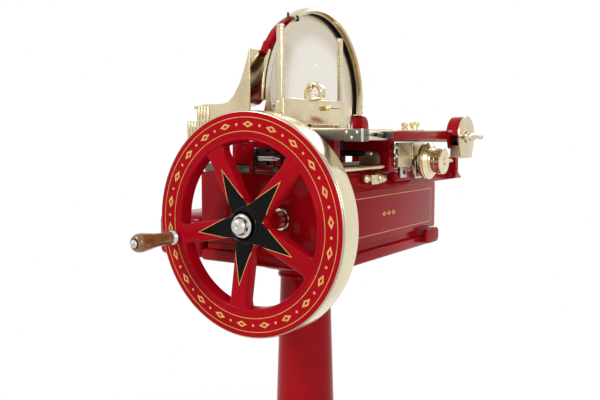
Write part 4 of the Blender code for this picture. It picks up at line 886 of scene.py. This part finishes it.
def sawn(outline, axis, start, end, edge=0.001, segments=3):
    """A plate whose outline and planes are distances from the wheel's centre."""
    along, across, above = numbers(axis)
    moved = [(spot(across, first), spot(above, second)) for first, second in outline]
    return plate(moved, axis, spot(along, start), spot(along, end), edge, segments)


def recast(node, edge, segments=3, tree=None, stretch=None, fixed=(0, 0, 0)):
    """Replace a node by its copy with rounded edges, stretched about a fixed point if that is asked."""
    original = frame["nodes"][node]
    slot_name = original.material_slots[0].material.name
    piece = casting(node, edge, segments)
    if stretch:
        only(piece)
        bpy.ops.transform.resize(value=stretch, center_override=fixed)
    tree = tree or slot_finish[slot_name]
    return dress(piece, node + "_casting", original["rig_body"], tree, slot_name, node)


print("one millimetre to the right of the wheel's centre:", spot(X, 0.001))

# %% [markdown]
# ## Body
# Front panel, side walls, deck, tray and the wing on the left are iron castings under enamel. Their outlines
# come from the CAD; the rounded edges catch the long highlights of the photograph. The right side carries a
# plain gold pinstripe, painted like the star: a rounded frame and three lozenges in the middle.

# %% Body castings with a pinstripe
stripe_half_long = 0.205
stripe_half_high = 0.036
stripe_width = 0.0008
lozenge_step = 0.02
body_paint = enamel("body_paint", crimson, 0.72, primer)
body_centre = middle("body_box")
body_side = ends("body_box", X)[1]
across, along, up = body_paint.parts(body_paint.place(body_centre))
far_along = along.maths("ABSOLUTE", along)
far_up = up.maths("ABSOLUTE", up)
beyond_along = far_along - stripe_half_long
frame_edge = beyond_along.maths("MAXIMUM", beyond_along, far_up - stripe_half_high)
frame_line = 1 - frame_edge.maths("ABSOLUTE", frame_edge).step(stripe_width * 0.5, stripe_width * 0.8)
side_cell = far_along / lozenge_step
cell_off = (side_cell.maths("FRACT", side_cell + 0.5) - 0.5) * lozenge_step
slope = cell_off.maths("ABSOLUTE", cell_off) * 0.55 + far_up
middle_three = far_along < lozenge_step * 1.55
side_lozenge = (1 - slope.step(0.0045, 0.0048)) * middle_three
side_heart = (1 - slope.step(0.002, 0.0023)) * middle_three
on_side = across > (body_side - body_centre.x - 0.0012)
body_gilt = (frame_line + side_lozenge - side_heart).step(0.0, 1.0) * on_side
striped = body_paint.mix(body_gilt, body_paint.colour, gilt_colour)
body_paint.paint("Base Color", striped)

body_edges = {"front_panel": 0.0025, "deck": 0.003, "base_tray": 0.003, "tray_lug": 0.002, "side_wing": 0.004,
              "knife_pedestal": 0.003, "fender_post": 0.0015, "rod_post_front": 0.0015,
              "rod_post_rear": 0.0015, "steel_bar": 0.0012, "left_rail": 0.0008}
for node, edge in body_edges.items():
    recast(node, edge)
recast("body_box", 0.0015, tree=body_paint)
print("body castings:", list(body_edges))

# %% [markdown]
# The shaft runs from the wheel into the panel through a slim red sleeve, with a thin nickel ring where it
# enters. The CAD shaft has a thick hub there, so its copy is drawn in until the sleeve covers it.

# %% Hub sleeve and ring
hub_limit = 0.0235
hub_end = spot(Y, 0.093)
hub_share = 0.55
shaft = casting("main_shaft", 0.0005, 1)
edit(True)
bpy.ops.mesh.select_mode(type="VERT")
bpy.ops.mesh.select_all(action="DESELECT")
edit(False)
for vertex in shaft.data.vertices:
    off_axis = math.hypot(vertex.co.x - wx, vertex.co.z - wz)
    vertex.select = off_axis > hub_limit - 0.002 and vertex.co.y < hub_end
edit(True)
bpy.ops.transform.resize(value=(hub_share, 1, hub_share), center_override=(wx, 0, wz))
edit(False)
dress(shaft, "shaft_with_gear", "wheel", ground_steel, "steel", "main_shaft")

sleeve_radius = 0.0165
profile = [(0.0145, 0.022), (0.0225, 0.022), (0.0225, 0.026), (0.02, 0.029), (sleeve_radius, 0.033),
           (sleeve_radius, 0.096), (sleeve_radius - 0.001, 0.0975), (0.0145, 0.0975), (0.0145, 0.022)]
dress(turned(profile, "Y", (0, 0), 48), "hub_sleeve", "wheel", red_enamel, "red_enamel")
profile = [(0.015, 0.0995), (0.0185, 0.0995), (0.02, 0.1003), (0.0206, 0.102), (0.0206, 0.1057),
           (0.015, 0.1057), (0.015, 0.0995)]
dress(turned(profile, "Y", (0, 0), 48), "bearing_ring", "frame", nickel, "nickel", "front_bearing")
print("hub sleeve radius", sleeve_radius)

# %% [markdown]
# ## Knife
# The knife is a thin disc, almost flat, with a ground bevel at its edge and faint turned steps in the face.
# The lathe section gives the bevel and the steps, and the finish adds the polishing rings round the centre.

# %% Knife
knife_back, knife_front = ends("knife_blade", X)
thick = knife_front - knife_back
bevel_start = knife_radius - 0.014
section = [
    (0.0, knife_front - 0.0006), (0.034, knife_front - 0.0006), (0.036, knife_front - 0.0002),
    (0.078, knife_front - 0.0002), (0.08, knife_front), (0.118, knife_front), (0.121, knife_front - 0.0003),
    (0.15, knife_front - 0.0003), (0.152, knife_front), (bevel_start, knife_front),
    (bevel_start + 0.001, knife_front - 0.0002), (knife_radius - 0.0002, knife_back + thick * 0.25),
    (knife_radius, knife_back + thick * 0.15), (knife_radius - 0.001, knife_back), (0.0, knife_back),
]
blade = lathe(section, "X", (knife_centre.y, knife_centre.z), steps=144)
hole_low, hole_high, hole_radius = knife_back - 0.002, knife_front + 0.002, 0.0024
section = [(0.0, hole_low), (hole_radius, hole_low), (hole_radius, hole_high), (0.0, hole_high)]
hole = lathe(section, "X", (spot(Y, 0.293), spot(Z, 0.288)), steps=20)
cut(blade, hole)
dress(blade, "ground_knife", "knife", knife_steel, "nickel", "knife_blade")
print("knife radius", round(knife_radius, 4))

# %% [markdown]
# ## Knife guard
# The guard is a rolled nickel band, open towards the knife. It is a section spun through part of a turn.
# Inside it a thin near-black sheet is painted shade: it stands for the shade and dark reflection in the
# channel between band and knife. At its front end the band is bolted to a stepped red arm, and a nickel
# strip covers the edge further down. At its rear end two small bolts hold it to the quarter disc on the
# deck, whose copy is drawn in, because the photograph shows it lower and shorter than the CAD.

# %% Guard band, painted shade and arm
guard_back, guard_front = ends("guard_ring", X)
guard_out = ends("guard_ring", Z)[1] - knife_centre.z
guard_in = knife_radius + 0.0015
guard_first, guard_sweep = -10.5, 133.0
bead = guard_front - 0.0118
section = [
    (guard_in, bead), (guard_in + 0.0003, bead + 0.0045), (guard_in + 0.0013, guard_front - 0.003),
    (guard_in + 0.003, guard_front - 0.0007), (guard_in + 0.0052, guard_front),
    (guard_out - 0.0036, guard_front - 0.001), (guard_out - 0.0012, guard_front - 0.0036),
    (guard_out, guard_front - 0.008), (guard_out, guard_back + 0.006),
    (guard_out - 0.0016, guard_back + 0.0016), (guard_out - 0.0046, guard_back),
    (guard_in + 0.0012, guard_back), (guard_in, guard_back + 0.001), (guard_in, bead),
]
knife_axis = (knife_centre.y, knife_centre.z)
band = lathe(section, "X", knife_axis, steps=72, first=guard_first, sweep=guard_sweep)
dress(band, "guard_band", "frame", nickel, "nickel", "guard_ring")
# Painted shade: a thin near-black sheet inside the band stands for the shade and dark reflection between
# knife and band.
shade_in, shade_out, shade_back = guard_in - 0.0002, guard_in + 0.0003, guard_back + 0.0012
section = [(shade_in, bead), (shade_out, bead), (shade_out, shade_back), (shade_in, shade_back),
           (shade_in, bead)]
shade_sheet = lathe(section, "X", knife_axis, steps=72, first=guard_first + 0.5, sweep=guard_sweep - 1.0)
dress(shade_sheet, "guard_painted_shade", "frame", painted_shade_black, "cast_iron")

arm_front = ends("guard_arm", X)[1]
arm_blocks = ((112.5, 133.0, 0.15, 0.166, 0.018), (131.5, 147.0, 0.151, 0.17, 0.013),
              (145.5, 153.5, 0.15, 0.178, 0.008))
arms = []
for first, last, inner, outer, depth in arm_blocks:
    low = arm_front - depth
    section = [(inner, arm_front), (outer, arm_front), (outer, low), (inner, low), (inner, arm_front)]
    arms.append(lathe(section, "X", knife_axis, steps=12, first=first, sweep=last - first))
for piece in arms:
    soften(piece, 0.0016)
dress(add(*arms), "stepped_arm", "frame", red_enamel, "red_enamel", "guard_arm")

recast("guard_front", 0.0012)
quarter_low, quarter_high = ends("guard_bracket", Z)
lowered = 1 - 0.0095 / (quarter_high - quarter_low)
corner = (0.0, ends("guard_bracket", Y)[1], quarter_low)
recast("guard_bracket", 0.0025, stretch=(1, 0.88, lowered), fixed=corner)


def on_guard(angle):
    """The middle of the band at an angle in degrees, as distances from the wheel's centre."""
    turn, reach, hub = math.radians(angle), (guard_in + guard_out) / 2, knife_centre - wheel_centre
    return hub.y + reach * math.cos(turn), hub.z + reach * math.sin(turn)


face_x = guard_front - wheel_centre.x
clamp_y, clamp_z = on_guard(guard_first + guard_sweep - 2.5)
clamps = [stud("X", (clamp_y, clamp_z - 0.002), face_x - 0.002, face_x + 0.0015, 0.0026),
          stud("Z", (face_x - 0.018, clamp_y - 0.006), clamp_z, clamp_z + 0.0105, 0.0022),
          block((face_x - 0.01, face_x + 0.0005), (clamp_y - 0.0035, clamp_y + 0.0045),
                (clamp_z - 0.0075, clamp_z + 0.003), 0.001)]
dress(add(*clamps), "guard_clamp", "frame", gun_metal, "cast_iron")
low_y, low_z = on_guard(guard_first + 2.2)
bolts = [stud("X", (low_y, low_z + rise), face_x - 0.002, face_x + 0.001, 0.0021) for rise in (0.0, 0.013)]
dress(add(*bolts), "guard_bolts", "frame", brass, "brass")
print("guard radius", round(guard_out, 4), "clamp at", round(clamp_y, 4), round(clamp_z, 4))

# %% [markdown]
# ## Fender and deflector
# Thin nickelled sheets keep the slices off the hand. The front one has an S-shaped upper edge and rolled
# ribs at its left end, so it is the CAD sheet with four half-round rolls, and three shorter ones beside it.

# %% Sheets, rolls and screws
recast("fender_front", 0.0004, 2)
recast("slice_deflector", 0.0004, 2)
roll_radius, roll_step, roll_foot = 0.0036, 0.0072, 0.141
sheet_front = 0.0977
rolls = []
for count, first, front, top in ((4, -0.183, sheet_front, 0.2045), (3, -0.2085, sheet_front + 0.001, 0.1757)):
    for index in range(count):
        rolls.append(stud("Z", (first + index * roll_step, front), roll_foot, top, roll_radius))
rolls.append(block((-0.2115, -0.1865), (0.098, 0.1005), (roll_foot, 0.174), 0.0008))
rolls.append(stud("X", (0.0995, 0.2005), -0.1865, -0.195, 0.003))
rolls.append(stud("Y", (-0.1045, 0.187), 0.0985, 0.096, 0.0034))
dress(add(*rolls), "fender_rolls", "frame", nickel, "nickel")

bracket_outline = ((-0.0833, 0.0968), (-0.0685, 0.0968), (-0.0685, 0.0806), (-0.06, 0.0806),
                   (-0.06, 0.126), (-0.031, 0.126), (-0.031, 0.138), (-0.0833, 0.138))
bracket = sawn(bracket_outline, "Y", 0.102, 0.1085, 0.0012)
cut(bracket, drill("Y", (-0.077, 0.13), 0.1, 0.112, 0.0026))
dress(bracket, "deck_bracket", "frame", red_enamel, "red_enamel")
works = [block((-0.0595, -0.0312), (0.106, 0.116), (0.094, 0.1255), 0.0015),
         stud("Y", (-0.0545, 0.1185), 0.1062, 0.101, 0.0034),
         stud("Y", (-0.055, 0.101), 0.1062, 0.1025, 0.0028),
         stud("X", (0.11, 0.113), -0.033, -0.001, 0.0062)]
dress(add(*works), "latch_block", "frame", gun_metal, "cast_iron")
dress(stud("X", (0.1042, 0.1075), -0.046, -0.002, 0.0048), "latch_rod", "frame", bright_steel, "steel")
print("fender rolls:", len(rolls))

# %% [markdown]
# ## Carriage
# The carriage is a long table on two arched legs. Its edges are plain machined plate, so small bevels are
# enough. The copy of the rear leg is stretched a little to the rear. The front has a dark steel band and a
# riveted corner bracket, and the right side carries a latch rod, a red arm and two wing fittings.

# %% Table, legs, band and rivets
leg_edge = 0.0028
carriage_edges = {"carriage_table": 0.0007, "front_band": 0.0006, "corner_bracket": 0.0004,
                  "side_bar": 0.0006, "feed_arm": 0.002, "front_leg": leg_edge, "rear_rail": 0.0014,
                  "feed_plate": 0.0008, "feed_slide": 0.0006}
for node, edge in carriage_edges.items():
    recast(node, edge)
recast("feed_screw", 0.0003, 1, tree=nickel)
recast("rear_leg", leg_edge, stretch=(1, 1.1, 1), fixed=(0, spot(Y, 0.22), 0))

bracket_face = away("corner_bracket", Y)[0]
rivets = [stud("Y", place, bracket_face + 0.001, bracket_face - 0.0018, 0.0027)
          for place in ((0.161, 0.1538), (0.18, 0.1538), (0.17, 0.1455))]
rivets.append(block((0.1864, 0.1886), (0.057, 0.062), (0.1392, 0.1594), 0.0005))
dress(add(*rivets), "bracket_rivets", "carriage", bright_steel, "steel")

latch_z = 0.15
latch = [stud("Y", (0.1868, latch_z), 0.07, 0.105, 0.0013),
         stud("Y", (0.188, latch_z), 0.104, 0.133, 0.0034),
         block((0.1845, 0.1935), (0.131, 0.159), (0.144, 0.1553), 0.0022)]
dress(add(*latch), "side_latch", "carriage", gun_metal, "cast_iron")

strip_top = 0.1592
fitting_x, knob_y, wing_y = 0.185, 0.219, 0.258
strip = block((0.1805, 0.1898), (0.205, 0.292), (0.1563, strip_top), 0.0006)
dress(strip, "arm_strip", "carriage", cream_steel, "cream_steel")
profile = [(0.0, strip_top), (0.0058, strip_top), (0.0058, 0.1612), (0.004, 0.1622), (0.004, 0.164),
           (0.006, 0.165), (0.006, 0.169), (0.0045, 0.1705), (0.0, 0.1712)]
knurled = turned(profile, "Z", (fitting_x, knob_y))
wing_outline = [(0.0, 0.16), (0.012, 0.1625), (0.019, 0.167), (0.0195, 0.1712), (0.015, 0.173),
                (0.009, 0.17), (0.0045, 0.169)]
wings = []
for hand in (-1, 1):
    outline = [(wing_y + hand * out, rise) for out, rise in wing_outline]
    wings.append(sawn(outline, "X", fitting_x - 0.0018, fitting_x + 0.0018, 0.0012))
profile = [(0.0, strip_top), (0.0066, strip_top), (0.006, 0.1635), (0.0046, 0.169), (0.003, 0.1722),
           (0.0, 0.173)]
wing_boss = turned(profile, "Z", (fitting_x, wing_y))
dress(add(knurled, wing_boss, *wings), "wing_fittings", "carriage", brass, "brass")

rod_place = (0.265, 0.1145)
hanger = block((0.02, 0.033), (0.258, 0.272), (0.1075, 0.1406), 0.0012)
rod = stud("X", rod_place, 0.021, 0.086, 0.0056)
dress(add(hanger, rod), "stop_rod", "carriage", gun_metal, "cast_iron")
rod_tip = stud("X", rod_place, 0.0845, 0.097, 0.0036)
dress(rod_tip, "stop_rod_tip", "carriage", cream_steel, "cream_steel")
arch_cover = sawn(round_box((0.03, 0.08), (0.083, 0.12), 0.006), "Y", 0.337, 0.343, 0.0006)
dress(arch_cover, "arch_plate", "carriage", cream_steel, "cream_steel")
print("carriage castings:", list(carriage_edges))

# %% [markdown]
# ## Feed screw and its hood
# The hood is a strap of enamelled iron bent over the screw, open below, with the black bearing and a pale
# block inside it. In front of it stands the nickel plate, and the T handle has a slim neck and a ball end.

# %% Hood, bearing, block and handle
hood_left, hood_right = away("feed_housing", X)
hood_y, hood_z = 0.457, 0.145
hood_radius = away("feed_housing", Z)[1] - hood_z
hood_inside = hood_radius - 0.0055
outer = arc((hood_y, hood_z), hood_radius, -22, 176, 28)
inner = arc((hood_y, hood_z), hood_inside, 176, -22, 28)
foot_low = 0.118
strap_outline = outer + inner + [(hood_y + 0.0275, foot_low), (hood_y + 0.033, foot_low)]
hood = sawn(strap_outline, "X", hood_left, hood_right, 0.0012)
dress(hood, "feed_hood", "carriage", red_enamel, "red_enamel", "feed_housing")
back_wall = [(hood_y - 0.029, foot_low + 0.004)] + arc((hood_y, hood_z), hood_inside + 0.001, 202, -22, 28)
back_wall.append((hood_y + 0.029, foot_low + 0.004))
wall = sawn(back_wall, "X", hood_left + 0.0006, hood_left + 0.004, 0.0)
cut(wall, drill("X", (hood_y, hood_z), 0.15, 0.2, 0.0085))
dress(wall, "hood_wall", "carriage", red_enamel, "red_enamel")
profile = [(0.0068, hood_left + 0.001), (0.015, hood_left + 0.001), (0.015, 0.196), (0.0135, 0.1975),
           (0.0135, 0.2048), (0.0068, 0.2048), (0.0068, hood_left + 0.001)]
dress(turned(profile, "X", (hood_y, hood_z), 40), "screw_bearing", "carriage", gun_metal, "cast_iron")
pale = block((0.181, 0.203), (0.438, 0.476), (0.1045, 0.129), 0.0018)
dress(pale, "pale_block", "carriage", cream_steel, "cream_steel")

bar_x = middle("feed_handle").x - wheel_centre.x
bar_low, bar_high = away("feed_handle", Y)
ball = 0.0058
profile = [(0.0, bar_low), (0.003, bar_low + 0.0004), (0.0046, bar_low + 0.003), (0.005, bar_low + 0.007),
           (0.004, bar_low + 0.012), (0.0034, bar_low + 0.02), (0.0036, hood_y - 0.012),
           (0.007, hood_y - 0.006), (0.0078, hood_y), (0.007, hood_y + 0.006), (0.0036, hood_y + 0.012),
           (0.0032, bar_high - 0.018), (0.0034, bar_high - 2 * ball)]
profile += bulb(ball, bar_high - ball, 40, 181, 20)
dress(turned(profile, "Y", (bar_x, hood_z)), "t_handle", "feed_screw", nickel, "nickel", "feed_handle")
print("hood radius", round(hood_radius, 4))

# %% [markdown]
# ## Press
# The press bar runs on a round post and a toothed post. A stirrup-shaped handle stands on it, with the end
# of a plunger inside, and a small brass catch holds it on the teeth.

# %% Posts, bar, handle and catch
post_x, post_y = 0.0175, 0.08
post_low, post_high = away("press_post_front", Z)
post_radius = 0.0068
profile = [(0.0, post_low), (0.011, post_low), (0.011, post_low + 0.006), (0.01, post_low + 0.0075),
           (0.008, post_low + 0.008), (post_radius, post_low + 0.0095), (post_radius, post_high - 0.007),
           (post_radius - 0.0008, post_high - 0.0065), (post_radius - 0.0008, post_high - 0.005),
           (post_radius, post_high - 0.0045), (post_radius, post_high - 0.0015),
           (post_radius - 0.0015, post_high), (0.0, post_high)]
post = turned(profile, "Z", (post_x, post_y), 40)
dress(post, "round_post", "feed_slide", nickel, "nickel", "press_post_front")
rack_x, rack_y = (0.0172, 0.0226), (0.2705, 0.2823)
rack_low, rack_high = away("press_post_rear", Z)
tooth_pitch, tooth_deep, first_root = 0.0034, 0.002, rack_low + 0.012
teeth = int((rack_high - rack_low - 0.016) / tooth_pitch)
rack_outline = [(rack_y[1], rack_high), (rack_y[1], rack_low), (rack_y[0], rack_low)]
for index in range(teeth):
    root = first_root + index * tooth_pitch
    rack_outline += [(rack_y[0], root), (rack_y[0] + tooth_deep, root + tooth_pitch * 0.5)]
rack_outline += [(rack_y[0], first_root + teeth * tooth_pitch), (rack_y[0], rack_high)]
rack = sawn(rack_outline, "X", rack_x[0], rack_x[1], 0.0)
rack_foot = block((0.012, 0.0235), (0.268, 0.2823), (rack_low, rack_low + 0.0075), 0.001)
dress(add(rack, rack_foot), "toothed_post", "feed_slide", cream_steel, "steel", "press_post_rear")

bar_face, bar_rear = 0.0313, 0.0243
bar_outline = round_box((0.068, 0.1682), (0.276, 0.2128), 0.0015, 2)
bar_plate = sawn(bar_outline, "X", bar_rear, bar_face, 0.0012)
profile = [(0.007, 0.176), (0.0098, 0.176), (0.0102, 0.1772), (0.0102, 0.206), (0.0098, 0.2072),
           (0.007, 0.2072), (0.007, 0.176)]
collar = turned(profile, "Z", (post_x, post_y), 40)
lug = block((0.019, 0.03), (0.084, 0.096), (0.177, 0.206), 0.001)
guide = block((0.006, 0.03), (0.262, 0.2698), (0.19, 0.212), 0.001)
comb_span = (0.16, 0.242)
comb_back = block((0.0195, 0.0245), comb_span, (0.1625, 0.176), 0.0006)
comb_rail = block((0.0245, 0.03), comb_span, (0.1684, 0.171), 0.0004)
dress(add(bar_plate, collar, lug, guide, comb_rail), "press_plate", "press", nickel, "nickel", "press_bar")
dress(comb_back, "comb_back", "press", gun_metal, "cast_iron")
comb_teeth, comb_step = 13, 0.0062
first_tooth = block((0.0252, 0.0292), (0.162, 0.165), (0.1622, 0.17), 0.0004, 2)
comb = [another(first_tooth, (0, index * comb_step, 0)) for index in range(1, comb_teeth)]
dress(add(first_tooth, *comb), "comb_teeth", "press", nickel, "nickel")
bar_screw = stud("X", (0.08, 0.202), 0.007, 0.001, 0.004)
dress(bar_screw, "bar_screw", "press", bright_steel, "steel")
slide_bolt = stud("Z", (0.0362, 0.282), 0.161, 0.17, 0.0034)
dress(slide_bolt, "slide_bolt", "feed_slide", brass, "brass")

knob_x, knob_y = 0.0232, 0.18
knob_low, knob_top = away("press_knob", Z)
arch_out, arch_in, arch_half = 0.02, 0.0112, 0.0085
arch_mid, arch_foot = knob_top - arch_out, knob_low + 0.0005
arch_outline = [(knob_x + arch_out * 0.92, arch_foot)] + arc((knob_x, arch_mid), arch_out, 0, 180, 20)
arch_outline += [(knob_x - arch_out * 0.92, arch_foot), (knob_x - arch_in * 0.85, arch_foot)]
arch_outline += arc((knob_x, arch_mid), arch_in, 180, 0, 14) + [(knob_x + arch_in * 0.85, arch_foot)]
stirrup = sawn(arch_outline, "Y", knob_y - arch_half, knob_y + arch_half, 0.004, 4)
saddle = block((knob_x - 0.0195, knob_x + 0.0195), (knob_y - 0.011, knob_y + 0.011),
               (knob_low + 0.0001, knob_low + 0.0028), 0.001)
plunger = turned([(0.0, knob_low + 0.002), (0.0046, knob_low + 0.002), (0.0046, knob_low + 0.008),
                  (0.0036, knob_low + 0.0095), (0.0, knob_low + 0.01)], "Z", (knob_x, knob_y))
dress(add(stirrup, saddle, plunger), "stirrup_handle", "press", nickel, "nickel", "press_knob", smooth=50)

catch_x, catch_y, catch_z = 0.035, 0.206, 0.1985
catch_front = away("press_latch", X)[0]
lobe, lobe_off = 0.005, 0.0044
profile = [(0.0, catch_y - 2 * lobe_off)] + bulb(lobe, catch_y - lobe_off, 30, 151, 24)
profile += bulb(lobe, catch_y + lobe_off, 30, 151, 24) + [(0.0, catch_y + 2 * lobe_off)]
dress(turned(profile, "Y", (catch_x, catch_z)), "brass_catch", "press", brass, "brass", "press_latch")
profile = [(0.0, 0.226), (0.0009, 0.2262), (0.0006, 0.25), (0.0, 0.265)]
needle = turned(profile, "Y", (catch_front + 0.0004, 0.199))
dress(needle, "catch_needle", "press", gun_metal, "steel")
print("stirrup top", round(knob_top, 4))

# %% [markdown]
# ## Thickness dial
# The dial is turned in steps: a drum with fine tick marks, a flange with a sloping edge, a straight neck and
# the front knob with a screw. Its bracket is a cream plate on two feet over a red pad. In front of them a
# nickel stop with a ball stands on the shoulder of the deck.

# %% Dial, bracket, pad and stop
dial_y, dial_z = 0.454, 0.096
dial_end = away("thickness_dial", X)[1]
flange = away("thickness_dial", Z)[1] - dial_z
dial_metal = metal("dial_nickel", (0.78, 0.68, 0.47), (0.46, 0.36, 0.19), 0.12, (700, 60, 60))
dial_middle = (wheel_centre.x, spot(Y, dial_y), spot(Z, dial_z))
x_part, y_part, z_part = dial_metal.parts(dial_metal.place(dial_middle))
ticks = 72
around = y_part.maths("ARCTAN2", y_part, z_part) * (ticks / (2 * math.pi))
tick_cell = around.maths("FRACT", around) - 0.5
on_drum = (x_part > 0.1196) * (x_part < 0.1244)
tick = (1 - tick_cell.maths("ABSOLUTE", tick_cell).step(0.1, 0.16)) * on_drum
ticked = dial_metal.mix(tick, dial_metal.colour, rgb(0.03, 0.025, 0.02))
dial_metal.paint("Base Color", ticked)
profile = [(0.0, 0.1176), (0.034, 0.1176), (0.0352, 0.1188), (0.0352, 0.1252), (0.0366, 0.1254),
           (flange - 0.003, 0.1262), (flange, 0.1304), (flange, 0.1316), (0.031, 0.1386), (0.025, 0.1392),
           (0.0242, 0.1402), (0.0242, 0.149), (0.0256, 0.1506), (0.0266, 0.1512),
           (0.0266, dial_end - 0.0022), (0.0259, dial_end - 0.0007),
           (0.0248, dial_end - 0.0002), (0.0085, dial_end - 0.0002), (0.0078, dial_end - 0.0022),
           (0.0, dial_end - 0.0022)]
dial = turned(profile, "X", (dial_y, dial_z), 96)
screw = stud("X", (dial_y, dial_z), dial_end - 0.002, dial_end, 0.0052)
slit = block((dial_end - 0.0008, dial_end + 0.001), (dial_y - 0.006, dial_y + 0.006),
             (dial_z - 0.0007, dial_z + 0.0007), 0)
cut(screw, slit)
dress(add(dial, screw), "stepped_dial", "dial", dial_metal, "nickel", "thickness_dial", smooth=16)

riser_left, riser_right, riser_top = 0.103, 0.111, 0.134
side_outline = [(0.35, 0.086), (0.418, 0.086), (0.43, 0.062), (0.474, 0.062), (0.474, riser_top),
                (0.35, riser_top)]
side_plate = sawn(side_outline, "X", riser_left, riser_right, 0.001)
front_plate = block((riser_left, 0.116), (0.403, 0.412), (0.1, riser_top), 0.001)
profile = [(0.0, 0.108), (0.015, 0.108), (0.015, 0.116), (0.014, 0.117), (0.0, 0.117)]
dial_boss = turned(profile, "X", (dial_y, dial_z), 40)
dress(add(side_plate, front_plate, dial_boss), "dial_bracket_plates", "frame", cream_steel, "cream_steel",
      "dial_bracket")
feet = [block((0.1008, 0.1085), (0.366, 0.394), (0.064, 0.087), 0.0012),
        block((0.1008, 0.1124), (0.427, 0.462), (0.06, 0.098), 0.0012)]
dress(add(*feet), "dial_feet", "frame", bright_steel, "steel")
screws = []
screw_z, screw_radius, slit_half, slit_deep = 0.0745, 0.004, 0.0006, 0.0006
for place, seat in ((0.38, 0.108), (0.44, 0.112)):
    top = seat + 0.0024
    screw = stud("X", (place, screw_z), seat, top, screw_radius)
    cut(screw, block((top - slit_deep, top + slit_deep), (place - 0.0035, place + 0.0035),
                     (screw_z - slit_half, screw_z + slit_half), 0))
    screws.append(screw)
dress(add(*screws), "dial_screws", "frame", gun_metal, "cast_iron")
caps = [stud("Y", (0.1075, 0.126), 0.351, 0.333, 0.005),
        stud("Y", (0.1075, 0.109), 0.351, 0.338, 0.0044)]
dress(add(*caps), "bracket_caps", "frame", bright_steel, "steel")
pad = block((0.083, 0.1018), (0.358, 0.464), (0.056, 0.0764), 0.007, 5)
dress(pad, "dial_pad", "frame", red_enamel, "red_enamel")

stop_x, stop_z, stop_face = 0.09, 0.0652, 0.098
ball_profile = [(0.0, 0.244)] + bulb(0.0086, 0.2526, 20, 141, 20)
ball_profile += [(0.0045, 0.26), (0.0045, 0.266), (0.0, 0.266)]
barrel = [(0.0, 0.292), (0.01, 0.292), (0.011, 0.293), (0.011, 0.3), (0.0088, 0.301),
          (0.0088, 0.303), (0.011, 0.304), (0.011, 0.319), (0.01, 0.3205), (0.0, 0.3205)]
stop = [turned(ball_profile, "Y", (stop_x, stop_z + 0.002)), turned(barrel, "Y", (stop_x, stop_z)),
        block((0.08, 0.0985), (0.264, 0.293), (0.056, 0.0745), 0.001)]
stop += [stud("X", (place, 0.0655), stop_face, 0.1, 0.003) for place in (0.271, 0.285)]
dress(add(*stop), "shoulder_stop", "frame", nickel, "nickel")
print("dial flange", round(flange, 4))

# %% Finish what stays of the CAD and close
for name, node in frame["nodes"].items():
    for slot in node.material_slots:
        slot.material = slot_finish[slot.material.name].material
print("pieces:", len(pieces))

bpy.context.scene.view_settings.view_transform = "Standard"
